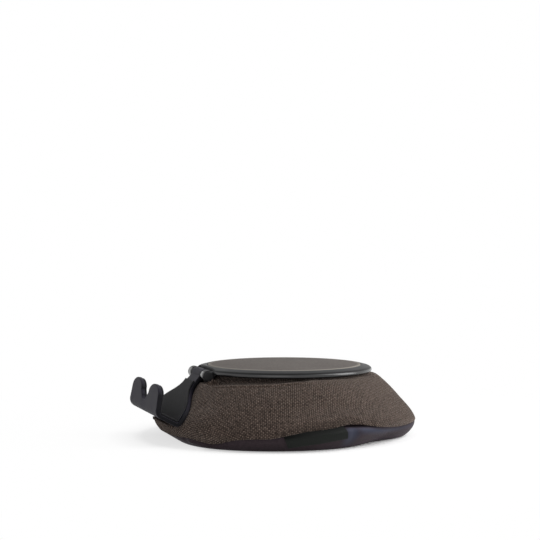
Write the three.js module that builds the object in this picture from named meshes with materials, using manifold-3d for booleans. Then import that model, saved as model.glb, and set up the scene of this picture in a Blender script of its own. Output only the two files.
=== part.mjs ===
// Beanbag tablet stand: a soft bead-filled bag clamped under a round top plate,
// with a two-prong cradle that tilts on a friction hinge at the plate's front edge.
// Millimetres, +Z up. The origin is on the table under the plate's centre, and -Y is the front.
import * as THREE from 'three';
import { mergeVertices } from 'three/addons/utils/BufferGeometryUtils.js';
import Module from 'manifold-3d';

// Clearances
const FIT = 0.25;            // between pieces that are clamped or slipped together
const SEAT = 0.1;            // between flat pieces stacked on each other
const CLEAR = 1.5;           // between the cradle and the bag that it presses in
const PAST = 10;             // how far a cut runs past what it cuts

// Bag
const BELLY_R = 73;          // widest ring
const BELLY_Z = 10;
const FOOT_IN = 8.5;         // how far the flat resting face stays inside the widest ring
const FOOT_R = BELLY_R - FOOT_IN;
const FOOT_SPREAD = 3;       // the beads spread the foot this far at the front right
const FOOT_SPREAD_AT = -52;  // degrees from +X
const FOOT_SPREAD_RUN = 35;  // degrees over which that dies away
const BACK_SPREAD = 1.8;     // and this far at the back
const BACK_SPREAD_AT = 75;
const BACK_SPREAD_RUN = 25;
const FOOT_TUCK = 5.5;       // and the foot is drawn in this far behind the label
const FOOT_TUCK_AT = 33;
const FOOT_TUCK_RUN = 20;
const FRONT = -90;           // degrees from +X where the cradle stands
const FRONT_TUCK = 5;        // and the foot is drawn in this far under the cradle
const FRONT_TUCK_RUN = 22;
const UNDERCUT = 1.45;       // 1 is a straight cone from foot to belly, 2 a round
const SIDE_IN = 20.4;        // how far the sloped side comes in from belly to shoulder
const SHOULDER_R = BELLY_R - SIDE_IN;
const SHOULDER_Z = 33;
const SHOULDER_H = 2.4;      // height of the turn from the side to the top
const BAG_TOP_Z = SHOULDER_Z + SHOULDER_H;
const SIDE_SLOPE = 45;       // degrees, slope of the side just below the shoulder
const SIDE_BULGE = 9.9;      // how far the side runs straight before it curves into the belly
const BELLY_RISE = 2;        // how far the belly's upright part reaches above its widest ring
const CLOTH_T = 1.2;         // cover fabric
const FILL_GAP = 0.6;        // slack between the cover and the filling
const SEAM_Z = 7.5;          // seam between the upper and lower covers
const SEAM_GAP = 0.7;        // groove between the two covers
const SEAM_LIFT = 6.4;       // how far the seam is drawn up at the label's rear end
const SEAM_PEAK = 10;        // degrees from +X where it is highest
const SEAM_RUN_FRONT = 33.5; // degrees of the straight climb along the label
const SEAM_RUN_BACK = 20;    // degrees over which the lift dies away behind it
const SEAM_BACK = 1.8;       // how much higher the seam runs at the back
const SEAM_DIP = 2.4;        // how far the cradle pushes the seam down at the front
const SEAM_DIP_RUN = 48;     // degrees over which that dies away
const SEAM_SAG = 3;          // how far the fabric sags over the seam beside the cradle
const SEAM_SAG_AT = -50;
const SEAM_SAG_RUN = 9;
const SEAM_REACH = 24;       // height at which the fabric no longer follows the seam's lift
const PRESS_HOLD = 3.5;      // height of the bag's foot that the cradle doesn't press down
const BAG_STEPS = 56;        // facets round the bag
const BAG_CROWD = 0.45;      // how much closer those facets stand at the front, where the cradle presses

// Top plate and grip pad
const RIM_IN = 3.9;          // how far the rim stays inside the shoulder
const RIM_R = SHOULDER_R - RIM_IN;
const RIM_W = 6.1;
const PAD_R = RIM_R - RIM_W;
const PLATE_Z = BAG_TOP_Z + FIT;
const FLOOR_T = 1.6;         // web of the plate under the pad
const RIM_EDGE_T = 2.3;      // height of the rim's outer edge
const RIM_LIP = 0.8;         // flat crest of the rim beside the pad
const RIM_SOFT = 1;          // rounding of the rim's outer edge
const PAD_T = 1.85;
const PAD_PROUD = 0.2;       // how far the pad stands above the rim's crest
const PAD_SOFT = 0.7;        // rounding of the pad's top edge
const GLUE_T = 0.3;
const GLUE_MARGIN = 1.5;
const PLATE_STEPS = 60;

// Clamp ring under the bag's top, and its screws
const RING_IN = 4.6;
const RING_R = PAD_R - RING_IN;
const NECK_W = 8.5;
const NECK_R = RING_R - NECK_W;  // neck of the plate that passes through the bag's top
const NECK_IN_R = NECK_R - NECK_W;
const NECK_H = 4.6;
const RING_FLANGE_T = 2.5;
const SCREW_COUNT = 6;
const SCREW_RING_R = (NECK_R + NECK_IN_R) / 2;
const SCREW_R = 1.3;
const SCREW_HEAD_R = 2.6;
const SCREW_HEAD_H = 1.8;
const SCREW_STEPS = 12;

// Friction hinge at the plate's front edge
const HINGE_IN = 0.9;        // the axis lies this far inside the rim's edge
const HINGE_SINK = 0.2;      // and this far below the bag's top
const HINGE_Y = HINGE_IN - RIM_R;
const HINGE_Z = BAG_TOP_Z - HINGE_SINK;
const KNUCKLE_R = 3.2;
const KNUCKLE_HALF = 9;      // half the length of the cradle's knuckle
const WASHER_T = 0.8;
const WASHER_R = 2.9;
const LUG_W = 5;
const PIN_R = 1.5;
const CAP_T = 1.2;
const CAP_DOME = 0.5;
const HINGE_STEPS = 24;

// Cradle: a J of even thickness, seen from the side as prong, base and arm
const SHELL_T = 2.2;
const LINER_T = 0.8;
const ARM_TILT = 51.9;       // degrees, slope of the arm that lies on the bag
const ARM_BACK = 0.2;        // the arm's rear face lies this far in front of the hinge axis
const BASE_FALL = 28;        // degrees, the base runs down towards the bag
const BASE_OUT = 1;          // a point on the underside of the base, in front of and above the belly
const BASE_UP = 3.1;
const BASE_Y = -BELLY_R - BASE_OUT;
const BASE_Z = BELLY_Z + BASE_UP;
const PRONG_TILT = 80;       // degrees
const PRONG_OUT = 6.6;       // a point on the prongs' front face, from the one on the base
const PRONG_UP = 7;
const PRONG_Y = BASE_Y - PRONG_OUT;
const PRONG_Z = BASE_Z + PRONG_UP;
const PRONG_H = 12.3;        // height of the prongs' tips above that point
const PRONG_TOP_Z = PRONG_Z + PRONG_H;
const HOOK_BEND = 4.6;       // outer bend between prong and base
const HEEL_BEND = 3.4;       // outer bend between base and arm
const HOOK_HALF = 32.5;      // half width across the base of the prongs
const TIP_HALF = 31.5;       // half width across the prongs' tips
const TIP_SOFT = 5.5;        // height of the tips' rounding
const NOTCH_HALF = 8.6;      // half width of the notch below the tips' rounding
const NOTCH_FOOT_HALF = 5.4; // and above its rounded bottom
const NOTCH_UP = 2.3;        // the notch's bottom above the prongs' measured point
const NOTCH_SOFT = 2.4;
const HEEL_HALF = 31;        // half width of the arm at its lower end
const HEEL_SOFT = 4;         // rounding of the hook's lower corners
const ARM_NECK = 6;          // length of the narrow part of the arm below its knuckle
const LINER_INSET = 0.7;     // the liner stops short of the shell's edges

// Label sewn into the seam on the +X side
const LABEL_L = 33.3;
const LABEL_H = 5.7;
const LABEL_T = 1;
const LABEL_ANGLE = -4.9;    // degrees from +X
const LABEL_GAP = 0.3;

const rad = THREE.MathUtils.degToRad;
const X = new THREE.Vector3(1, 0, 0);
const Y = new THREE.Vector3(0, 1, 0);
const Z = new THREE.Vector3(0, 0, 1);
const wasm = await Module();
wasm.setup();

// A closed geometry with shared vertices and no empty triangles.
function weld(geometry) {
  geometry.deleteAttribute('normal');
  geometry.deleteAttribute('uv');
  const merged = mergeVertices(geometry, 1e-4);
  const kept = [];
  const index = merged.index.array;
  for (let i = 0; i < index.length; i += 3) {
    const [a, b, c] = index.slice(i, i + 3);
    if (a !== b && b !== c && c !== a) kept.push(a, b, c);
  }
  merged.setIndex(kept);
  return merged;
}

function toSolid(geometry) {
  const closed = weld(geometry);
  const vertProperties = new Float32Array(closed.attributes.position.array);
  const triVerts = new Uint32Array(closed.index.array);
  return new wasm.Manifold(new wasm.Mesh({ numProp: 3, vertProperties, triVerts }));
}

function toGeometry(solid) {
  const mesh = solid.getMesh();
  const geometry = new THREE.BufferGeometry();
  geometry.setAttribute('position', new THREE.BufferAttribute(mesh.vertProperties, 3));
  geometry.setIndex(new THREE.BufferAttribute(mesh.triVerts, 1));
  return geometry;
}

// A profile of [radius, height] points turned about the upright axis, from bottom to top outside.
function turned(points, steps) {
  const profile = points.map(([r, z]) => new THREE.Vector2(r, z));
  return new THREE.LatheGeometry(profile, steps).rotateX(Math.PI / 2);
}

// The same, lying along X between its heights, on the hinge axis.
function onHinge(points, steps) {
  const geometry = turned(points, steps).rotateY(Math.PI / 2);
  return geometry.translate(0, HINGE_Y, HINGE_Z);
}

// A flat shape given depth, with its width, height and depth laid along three directions.
function slab(shape, depth, across, up, out, origin) {
  const geometry = new THREE.ExtrudeGeometry(shape, { depth, bevelEnabled: false, curveSegments: 6 });
  const place = new THREE.Matrix4().makeBasis(across, up, out).setPosition(origin);
  return geometry.applyMatrix4(place);
}

function reshaped(geometry, move) {
  const at = geometry.attributes.position;
  const point = new THREE.Vector3();
  for (let i = 0; i < at.count; i += 1) {
    point.fromBufferAttribute(at, i);
    move(point);
    at.setXYZ(i, point.x, point.y, point.z);
  }
  return geometry;
}

const stand = new THREE.Group();

function piece(name, geometry, color, roughness, metalness = 0) {
  const material = new THREE.MeshStandardMaterial({ color, roughness, metalness });
  const mesh = new THREE.Mesh(weld(geometry), material);
  mesh.name = name;
  stand.add(mesh);
}

// The bag's outer skin as a path from the neck hole to the seam, taken in by a depth along its slope.
// The side runs straight from the shoulder and bends into the upright belly.
function skinAbove(depth) {
  const slope = rad(SIDE_SLOPE);
  const turn = new THREE.Vector2(-Math.sin(slope) * depth, -Math.cos(slope) * depth);
  const path = new THREE.Path();
  path.moveTo(NECK_R + FIT, BAG_TOP_Z - depth);
  path.lineTo(RING_R + 1, BAG_TOP_Z - depth);
  path.lineTo(PAD_R, BAG_TOP_Z - depth);
  path.quadraticCurveTo(
    SHOULDER_R - (SHOULDER_R - PAD_R) / 3, BAG_TOP_Z - depth,
    SHOULDER_R + turn.x, SHOULDER_Z + turn.y);
  path.bezierCurveTo(
    SHOULDER_R + SIDE_BULGE * Math.cos(slope) + turn.x, SHOULDER_Z - SIDE_BULGE * Math.sin(slope) + turn.y,
    BELLY_R - depth, BELLY_Z + BELLY_RISE,
    BELLY_R - depth, BELLY_Z);
  return path.getPoints(7).map(({ x, y }) => [x, y]);
}

// Radius of the skin below the belly, which rolls under to the flat foot.
function rolledUnder(z) {
  const drop = Math.min(1, (BELLY_Z - z) / BELLY_Z);
  return FOOT_R + FOOT_IN * Math.pow(1 - Math.pow(drop, UNDERCUT), 1 / UNDERCUT);
}

// Points of the lower skin from the foot's edge up to a height, taken in by a depth.
function skinBelow(depth, top, count) {
  const points = [];
  for (let i = 0; i <= count; i += 1) {
    const z = top * Math.pow(i / count, 1.6);
    points.push([rolledUnder(z) - depth, Math.max(z, depth)]);
  }
  return points;
}

const outerSkin = skinAbove(0);

// Height of the unpressed bag's upper skin at a radius, and its radius at a height.
function skinHeight(r) {
  if (r <= outerSkin[0][0]) return BAG_TOP_Z;
  const i = outerSkin.findIndex((point) => point[0] >= r);
  if (i < 1) return BELLY_Z;
  const [r0, z0] = outerSkin[i - 1];
  const [r1, z1] = outerSkin[i];
  return r1 > r0 ? THREE.MathUtils.mapLinear(r, r0, r1, z0, z1) : z1;
}

function skinRadius(z) {
  if (z <= BELLY_Z) return rolledUnder(z);
  const i = outerSkin.findIndex((point) => point[1] <= z);
  const [r0, z0] = outerSkin[i - 1];
  const [r1, z1] = outerSkin[i];
  return THREE.MathUtils.mapLinear(z, z0, z1, r0, r1);
}

// The seam is drawn up beside the label and pushed down under the cradle, and the fabric follows it.
function turnFrom(angle, degrees) {
  return THREE.MathUtils.euclideanModulo(angle - rad(degrees) + Math.PI, 2 * Math.PI) - Math.PI;
}

function seamLift(angle) {
  const off = turnFrom(angle, SEAM_PEAK);
  const climb = Math.max(0, 1 + off / rad(SEAM_RUN_FRONT));
  const fall = Math.exp(-((off / rad(SEAM_RUN_BACK)) ** 2));
  const dip = turnFrom(angle, FRONT) / rad(SEAM_DIP_RUN);
  const sag = turnFrom(angle, SEAM_SAG_AT) / rad(SEAM_SAG_RUN);
  const down = SEAM_DIP * Math.exp(-(dip ** 4)) + SEAM_SAG * Math.exp(-(sag ** 2));
  const back = Math.max(0, Math.sin(angle)) ** 2;
  return SEAM_LIFT * (off < 0 ? climb : fall) + SEAM_BACK * back - down;
}

// How far the foot's edge lies outside or inside its circle.
function footSpread(angle) {
  const out = turnFrom(angle, FOOT_SPREAD_AT) / rad(FOOT_SPREAD_RUN);
  const tuck = turnFrom(angle, FOOT_TUCK_AT) / rad(FOOT_TUCK_RUN);
  const front = turnFrom(angle, FRONT) / rad(FRONT_TUCK_RUN);
  const drawnIn = FOOT_TUCK * Math.exp(-(tuck ** 2)) + FRONT_TUCK * Math.exp(-(front ** 2));
  const back = turnFrom(angle, BACK_SPREAD_AT) / rad(BACK_SPREAD_RUN);
  return FOOT_SPREAD * Math.exp(-(out ** 2)) + BACK_SPREAD * Math.exp(-(back ** 2)) - drawnIn;
}

// Lowest surface of the cradle and its hinge over a point of the bag: the arm's rear face,
// the underside of the base and the hinge barrel, each with its own width.
const armRise = Math.tan(rad(ARM_TILT));
const baseFall = Math.tan(rad(BASE_FALL));
const armBackY = HINGE_Y - ARM_BACK / Math.sin(rad(ARM_TILT));
const armBackZ = (y) => HINGE_Z + armRise * (y - armBackY);
const baseZ = (y) => BASE_Z - baseFall * (y - BASE_Y);
const heelY = (BASE_Z - HINGE_Z + armRise * armBackY + baseFall * BASE_Y) / (armRise + baseFall);
const lugEnd = KNUCKLE_HALF + 2 * FIT + WASHER_T + LUG_W + FIT + CAP_T;

function softMin(a, b, blend) {
  const h = Math.max(blend - Math.abs(a - b), 0) / blend;
  return Math.min(a, b) - h * h * blend / 4;
}

function pressHeight(x, y) {
  const steep = 1.2;
  const widening = THREE.MathUtils.mapLinear(y, HINGE_Y - ARM_NECK / 2, heelY + HEEL_BEND, KNUCKLE_HALF, HOOK_HALF);
  const half = THREE.MathUtils.clamp(widening, KNUCKLE_HALF, HOOK_HALF) + CLEAR;
  const under = -softMin(-armBackZ(y), -baseZ(y), HEEL_BEND);
  const cradle = under + steep * Math.max(0, Math.abs(x) - half);
  const behind = Math.max(0, Math.abs(y - HINGE_Y) - KNUCKLE_R - CLEAR);
  const beside = Math.max(0, Math.abs(x) - lugEnd - CLEAR);
  const barrel = HINGE_Z - KNUCKLE_R + steep * Math.hypot(behind, beside) * 1.6;
  return Math.min(cradle, barrel) - CLEAR;
}

// One shape for every layer of the bag: facets crowd to the front, the seam lifts, the foot spreads,
// and the column under the cradle is pressed down in proportion to its height above the foot.
function bagShape(point) {
  const fromFront = Math.atan2(point.x, -point.y);
  const angle = fromFront - BAG_CROWD * Math.sin(fromFront) - Math.PI / 2;
  let r = Math.hypot(point.x, point.y);
  let lifted = point.z;
  if (r > RING_R && point.z < SEAM_REACH) {
    const below = THREE.MathUtils.smoothstep(point.z, 0, SEAM_Z);
    const above = 1 - THREE.MathUtils.smoothstep(point.z, SEAM_Z, SEAM_REACH);
    lifted += seamLift(angle) * below * above;
    r += skinRadius(lifted) - skinRadius(point.z);
  }
  const x = r * Math.cos(angle);
  const y = r * Math.sin(angle);
  const free = skinHeight(r);
  const pressed = softMin(free, pressHeight(x, y), 2);
  const hold = Math.min(PRESS_HOLD, pressed / 2);
  const share = Math.min(1, (pressed - hold) / (free - hold));
  const spread = 1 + footSpread(angle) / FOOT_R * Math.max(0, 1 - point.z / BELLY_Z);
  point.set(x * spread, y * spread, lifted > hold ? hold + (lifted - hold) * share : lifted);
}

function bagPiece(name, points, color, roughness) {
  piece(name, reshaped(turned(points, BAG_STEPS), bagShape), color, roughness);
}

// A solid turned from top to bottom, so that its facets run like those inside the covers round it.
function turnedWithin(points, steps) {
  const geometry = turned(points, steps);
  const corners = geometry.index.array;
  for (let i = 0; i < corners.length; i += 3) {
    [corners[i + 1], corners[i + 2]] = [corners[i + 2], corners[i + 1]];
  }
  return geometry;
}

const seamGap = SEAM_GAP / 2;
const seamTop = [rolledUnder(SEAM_Z + seamGap), SEAM_Z + seamGap];
const seamTopInside = [seamTop[0] - CLOTH_T, seamTop[1]];
const upperOutside = [...skinAbove(0), seamTop].reverse();
const upperInside = [...skinAbove(CLOTH_T), seamTopInside];
bagPiece('bag_cover_upper', [...upperOutside, ...upperInside, upperOutside[0]], 0x5c514b, 0.95);

const baseOutside = skinBelow(0, SEAM_Z - seamGap, 6);
const baseInside = skinBelow(CLOTH_T, SEAM_Z - seamGap, 6).reverse();
bagPiece('bag_cover_base', [[0, 0], ...baseOutside, ...baseInside, [0, CLOTH_T]], 0x2b2630, 0.8);

// The bead filling fills the covers and stops under the clamp ring and its screw heads.
const fillIn = CLOTH_T + FILL_GAP;
const flangeZ = PLATE_Z - NECK_H - FIT - RING_FLANGE_T;
const fillTopZ = flangeZ - FIT - SCREW_HEAD_H - FIT;
const fillTop = [[0, fillTopZ], [RING_R + 1, fillTopZ], ...skinAbove(fillIn).slice(1)];
const fillSide = skinBelow(fillIn, SEAM_Z - seamGap, 6).reverse();
const fill = turnedWithin([...fillTop, ...fillSide, [0, fillIn]], BAG_STEPS);
piece('bead_fill', reshaped(fill, bagShape), 0xe6e3da, 1);

// Top plate: a shallow dish with a bevelled rim, a neck through the bag's top, blind screw holes,
// and a notch in the rim for the cradle's knuckle between two hinge lugs.
const floorZ = PLATE_Z + FLOOR_T;
const glueZ = floorZ + SEAT;
const padZ = glueZ + GLUE_T + SEAT;
const padTopZ = padZ + PAD_T;
const rimTopZ = padTopZ - PAD_PROUD;
const padWallR = PAD_R + FIT;
const neckZ = PLATE_Z - NECK_H;
const edgeZ = PLATE_Z + RIM_SOFT / 2;
const plateProfile = [
  [0, PLATE_Z], [NECK_IN_R, PLATE_Z], [NECK_IN_R, neckZ], [NECK_R, neckZ], [NECK_R, PLATE_Z],
  [RIM_R - RIM_SOFT, PLATE_Z], [RIM_R, edgeZ], [RIM_R, edgeZ + RIM_EDGE_T - RIM_SOFT],
  [RIM_R - RIM_SOFT, edgeZ + RIM_EDGE_T], [padWallR + RIM_LIP, rimTopZ], [padWallR, rimTopZ],
  [padWallR, floorZ], [0, floorZ],
];
const lugInner = KNUCKLE_HALF + 2 * FIT + WASHER_T;
const lugOuter = lugInner + LUG_W;
const boreR = PIN_R + FIT;
const knuckle = (from, to) => toSolid(onHinge([[0, from], [KNUCKLE_R, from], [KNUCKLE_R, to], [0, to]], HINGE_STEPS));
const bore = (from, to) => toSolid(onHinge([[0, from], [boreR, from], [boreR, to], [0, to]], HINGE_STEPS));

// The lug's web runs back from its barrel into the plate.
function lugWeb(from) {
  const web = new THREE.Shape();
  web.moveTo(HINGE_Y, HINGE_Z - KNUCKLE_R);
  web.lineTo(-PAD_R, PLATE_Z);
  web.lineTo(-PAD_R, floorZ);
  web.lineTo(HINGE_Y, HINGE_Z + KNUCKLE_R * 0.9);
  return toSolid(slab(web, LUG_W, Y, Z, X, new THREE.Vector3(from, 0, 0)));
}

// A plain block between two corners, for notches.
function block(low, high) {
  const size = new THREE.Vector3().subVectors(high, low);
  const middle = new THREE.Vector3().addVectors(low, high).multiplyScalar(0.5);
  return toSolid(new THREE.BoxGeometry(size.x, size.y, size.z).translate(middle.x, middle.y, middle.z));
}

function screwPlaces() {
  const places = [];
  for (let i = 0; i < SCREW_COUNT; i += 1) {
    const angle = (i + 0.5) * 2 * Math.PI / SCREW_COUNT;
    places.push([SCREW_RING_R * Math.cos(angle), SCREW_RING_R * Math.sin(angle)]);
  }
  return places;
}

const screwTopZ = floorZ - 2 * FIT;
const holeR = SCREW_R + FIT;
function screwHole(x, y, from, to) {
  const points = [[0, from], [holeR, from], [holeR, to], [0, to]];
  return toSolid(turned(points, SCREW_STEPS).translate(x, y, 0));
}

const notchHalf = lugEnd + FIT;
const notchBack = HINGE_Y + KNUCKLE_R + 2 * FIT;
const notch = block(
  new THREE.Vector3(-notchHalf, -RIM_R - PAST, PLATE_Z - PAST),
  new THREE.Vector3(notchHalf, notchBack, rimTopZ + PAST));
let plate = toSolid(turned(plateProfile, PLATE_STEPS)).subtract(notch);
for (const [from, to] of [[lugInner, lugOuter], [-lugOuter, -lugInner]]) {
  plate = plate.add(knuckle(from, to)).add(lugWeb(from)).subtract(bore(from - 1, to + 1));
}
for (const [x, y] of screwPlaces()) {
  plate = plate.subtract(screwHole(x, y, neckZ - 1, screwTopZ + FIT));
}
piece('top_plate', toGeometry(plate), 0x3a3938, 0.45);

piece('pad_adhesive', turned([
  [0, glueZ], [PAD_R - GLUE_MARGIN, glueZ], [PAD_R - GLUE_MARGIN, glueZ + GLUE_T], [0, glueZ + GLUE_T],
], PLATE_STEPS), 0xd8d3c6, 0.6);
piece('grip_pad', turned([
  [0, padZ], [PAD_R, padZ], [PAD_R, padTopZ - PAD_SOFT], [PAD_R - PAD_SOFT, padTopZ], [0, padTopZ],
], PLATE_STEPS), 0x6f6a67, 0.85);

// Clamp ring: its outer wall squeezes the bag's top against the plate, its flange carries the screws.
const clothUnderZ = BAG_TOP_Z - CLOTH_T - FIT;
const flangeTopZ = flangeZ + RING_FLANGE_T;
let ring = toSolid(turned([
  [NECK_IN_R, flangeZ], [RING_R, flangeZ], [RING_R, clothUnderZ], [NECK_R + FIT, clothUnderZ],
  [NECK_R + FIT, flangeTopZ], [NECK_IN_R, flangeTopZ], [NECK_IN_R, flangeZ],
], PLATE_STEPS));
screwPlaces().forEach(([x, y], i) => {
  ring = ring.subtract(screwHole(x, y, flangeZ - 1, flangeTopZ + 1));
  const headZ = flangeZ - SEAT;
  const screw = turned([
    [0, headZ - SCREW_HEAD_H], [SCREW_HEAD_R * 0.8, headZ - SCREW_HEAD_H], [SCREW_HEAD_R, headZ],
    [SCREW_R, headZ], [SCREW_R, screwTopZ - SCREW_R], [0, screwTopZ],
  ], SCREW_STEPS);
  piece(`clamp_screw_${i + 1}`, screw.translate(x, y, 0), 0xb4b6b9, 0.3, 1);
});
piece('retaining_ring', toGeometry(ring), 0x2e2e30, 0.6);

// Hinge pin through both lugs and the cradle's knuckle, friction washers, and trim caps on the lugs.
piece('hinge_pin', onHinge([
  [0, -lugOuter], [PIN_R, -lugOuter], [PIN_R, lugOuter], [0, lugOuter],
], HINGE_STEPS), 0xc2c4c7, 0.25, 1);
for (const [side, sign] of [['right', 1], ['left', -1]]) {
  const washerAt = KNUCKLE_HALF + FIT;
  const washer = turned([
    [boreR, washerAt], [WASHER_R, washerAt], [WASHER_R, washerAt + WASHER_T],
    [boreR, washerAt + WASHER_T], [boreR, washerAt],
  ], HINGE_STEPS).rotateY(sign * Math.PI / 2);
  piece(`friction_washer_${side}`, washer.translate(0, HINGE_Y, HINGE_Z), 0xa8a9ab, 0.35, 1);
  const capAt = lugOuter + FIT;
  const cap = turned([
    [0, capAt], [KNUCKLE_R, capAt], [KNUCKLE_R, capAt + CAP_T - CAP_DOME],
    [KNUCKLE_R - CAP_DOME * 2, capAt + CAP_T], [0, capAt + CAP_T],
  ], HINGE_STEPS).rotateY(sign * Math.PI / 2);
  piece(`pin_cap_${side}`, cap.translate(0, HINGE_Y, HINGE_Z), 0x3a3938, 0.5);
}

// Cradle: the side profile is three straight runs joined by bends. Depth is measured inwards
// from the outside of the J, so the shell and the liner come from the same runs.
const along = (degrees) => new THREE.Vector2(Math.cos(rad(degrees)), Math.sin(rad(degrees)));
const runs = [
  { at: new THREE.Vector2(PRONG_Y, PRONG_Z), way: along(PRONG_TILT + 180) },
  { at: new THREE.Vector2(BASE_Y, BASE_Z), way: along(-BASE_FALL) },
  { at: new THREE.Vector2(armBackY, HINGE_Z), way: along(ARM_TILT) },
];

function shifted(run, depth) {
  const inward = new THREE.Vector2(-run.way.y, run.way.x);
  return { at: run.at.clone().addScaledVector(inward, depth), way: run.way };
}

function crossing(a, b) {
  const gap = b.at.clone().sub(a.at);
  return a.at.clone().addScaledVector(a.way, gap.cross(b.way) / a.way.cross(b.way));
}

// The J's outline at one depth, from above the prong's tip to a way up the arm.
function hookPath(depth, tipZ, armLength) {
  const [prong, base, arm] = runs.map((run) => shifted(run, depth));
  const toe = crossing(prong, base);
  const heel = crossing(base, arm);
  const path = new THREE.Path();
  const tip = prong.at.clone().addScaledVector(prong.way, (tipZ - prong.at.y) / prong.way.y);
  path.moveTo(tip.x, tip.y);
  for (const [corner, before, after, bend] of [[toe, prong, base, HOOK_BEND], [heel, base, arm, HEEL_BEND]]) {
    const turn = Math.abs(Math.atan2(before.way.cross(after.way), before.way.dot(after.way)));
    const reach = Math.max(bend - depth, 1) * Math.tan(turn / 2);
    const start = corner.clone().addScaledVector(before.way, -reach);
    const end = corner.clone().addScaledVector(after.way, reach);
    path.lineTo(start.x, start.y);
    path.quadraticCurveTo(corner.x, corner.y, end.x, end.y);
  }
  const stop = heel.clone().addScaledVector(arm.way, armLength);
  path.lineTo(stop.x, stop.y);
  return path.getPoints(5);
}

// A shape from its right half, listed from the bottom up.
function mirrored(half) {
  const right = half.getPoints(6);
  const left = right.filter(({ x }) => x > 0).map(({ x, y }) => new THREE.Vector2(-x, y)).reverse();
  return new THREE.Shape([...right, ...left]);
}

// The prongs seen from the front: rounded tips, a rounded notch between them, and soft lower corners.
function prongOutline(inset) {
  const tip = PRONG_TOP_Z - inset;
  const tipFoot = PRONG_TOP_Z - TIP_SOFT;
  const tipMid = (TIP_HALF + NOTCH_HALF) / 2;
  const side = TIP_HALF - inset;
  const base = HOOK_HALF - inset;
  const mouth = NOTCH_HALF + inset;
  const round = 0.55;
  const tipSide = tipFoot + round * (tip - tipFoot);
  const tipWay = round * (side - tipMid);
  const foot = NOTCH_FOOT_HALF + inset;
  const notchZ = PRONG_Z + NOTCH_UP - inset;
  const half = new THREE.Path();
  half.moveTo(HEEL_HALF - inset, 0);
  half.lineTo(HEEL_HALF - inset, BASE_Z - HEEL_SOFT);
  half.quadraticCurveTo(base, BASE_Z, base, PRONG_Z);
  half.lineTo(side, tipFoot);
  half.bezierCurveTo(side, tipSide, tipMid + tipWay, tip, tipMid, tip);
  half.bezierCurveTo(tipMid - tipWay, tip, mouth, tipSide, mouth, tipFoot);
  half.lineTo(foot, notchZ + NOTCH_SOFT);
  half.quadraticCurveTo(foot - NOTCH_SOFT / 2, notchZ, 0, notchZ);
  return mirrored(half);
}

// The arm in its own plane: from the wide heel it sweeps in to the narrow part under the knuckle.
const heelPoint = crossing(runs[1], runs[2]);
const armLength = runs[2].at.distanceTo(heelPoint);
function armOutline(inset, top) {
  const wide = HEEL_HALF - inset;
  const slim = KNUCKLE_HALF - inset;
  const low = HEEL_BEND;
  const neck = armLength - ARM_NECK;
  const half = new THREE.Path();
  half.moveTo(wide, low);
  half.bezierCurveTo(wide, neck * 0.6, slim, neck * 0.6, slim, neck);
  half.lineTo(slim, top);
  return mirrored(half);
}

// One layer of the cradle between two depths: the bent hook trimmed to its outline, plus the arm.
function cradleLayer(from, to, inset, armTop) {
  const side = new THREE.Shape([
    ...hookPath(from, PRONG_TOP_Z + PAST, 2 * HEEL_BEND), ...hookPath(to, PRONG_TOP_Z + PAST, 2 * HEEL_BEND).reverse(),
  ]);
  const bent = toSolid(slab(side, 2 * BELLY_R, Y, Z, X, new THREE.Vector3(-BELLY_R, 0, 0)));
  const front = slab(prongOutline(inset), BELLY_R, X, Z, Y.clone().negate(), new THREE.Vector3(0, HINGE_Y, 0));
  const armWay = new THREE.Vector3(0, runs[2].way.x, runs[2].way.y);
  const armOut = new THREE.Vector3().crossVectors(X, armWay);
  const origin = new THREE.Vector3(0, heelPoint.x, heelPoint.y).addScaledVector(armOut, from);
  const arm = toSolid(slab(armOutline(inset, armTop), to - from, X, armWay, armOut, origin));
  return bent.intersect(toSolid(front)).add(arm);
}

const shell = cradleLayer(0, SHELL_T, 0, armLength)
  .add(knuckle(-KNUCKLE_HALF, KNUCKLE_HALF))
  .subtract(bore(-KNUCKLE_HALF - 1, KNUCKLE_HALF + 1));
piece('cradle_arm', toGeometry(shell), 0x47464b, 0.5);
const linerFrom = SHELL_T + FIT;
const liner = cradleLayer(linerFrom, linerFrom + LINER_T, LINER_INSET, armLength - KNUCKLE_R - ARM_NECK / 2);
piece('cradle_liner', toGeometry(liner), 0x1b1b1d, 0.9);

// Label: a folded strip that hangs from the seam, climbs with it and follows the belly.
const labelSlant = Math.atan(SEAM_LIFT / (BELLY_R * rad(SEAM_RUN_FRONT)));
const labelZ = SEAM_Z + seamLift(rad(LABEL_ANGLE)) - LABEL_GAP - LABEL_H / 2;
const strip = new THREE.BoxGeometry(LABEL_L, LABEL_T, LABEL_H, 16, 1, 4);
piece('side_label', reshaped(strip, (point) => {
  const run = point.x * Math.cos(labelSlant) - point.z * Math.sin(labelSlant);
  const z = labelZ + point.x * Math.sin(labelSlant) + point.z * Math.cos(labelSlant);
  const angle = rad(LABEL_ANGLE) + run / BELLY_R;
  const below = Math.max(0, 1 - (z - seamLift(angle)) / BELLY_Z);
  const spread = 1 + Math.max(0, footSpread(angle)) / FOOT_R * below;
  const r = skinRadius(z) * spread + LABEL_GAP + LABEL_T / 2 - point.y;
  point.set(r * Math.cos(angle), r * Math.sin(angle), z);
}), 0x1d1b1e, 0.7);

export default stand;
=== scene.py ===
import math

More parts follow.
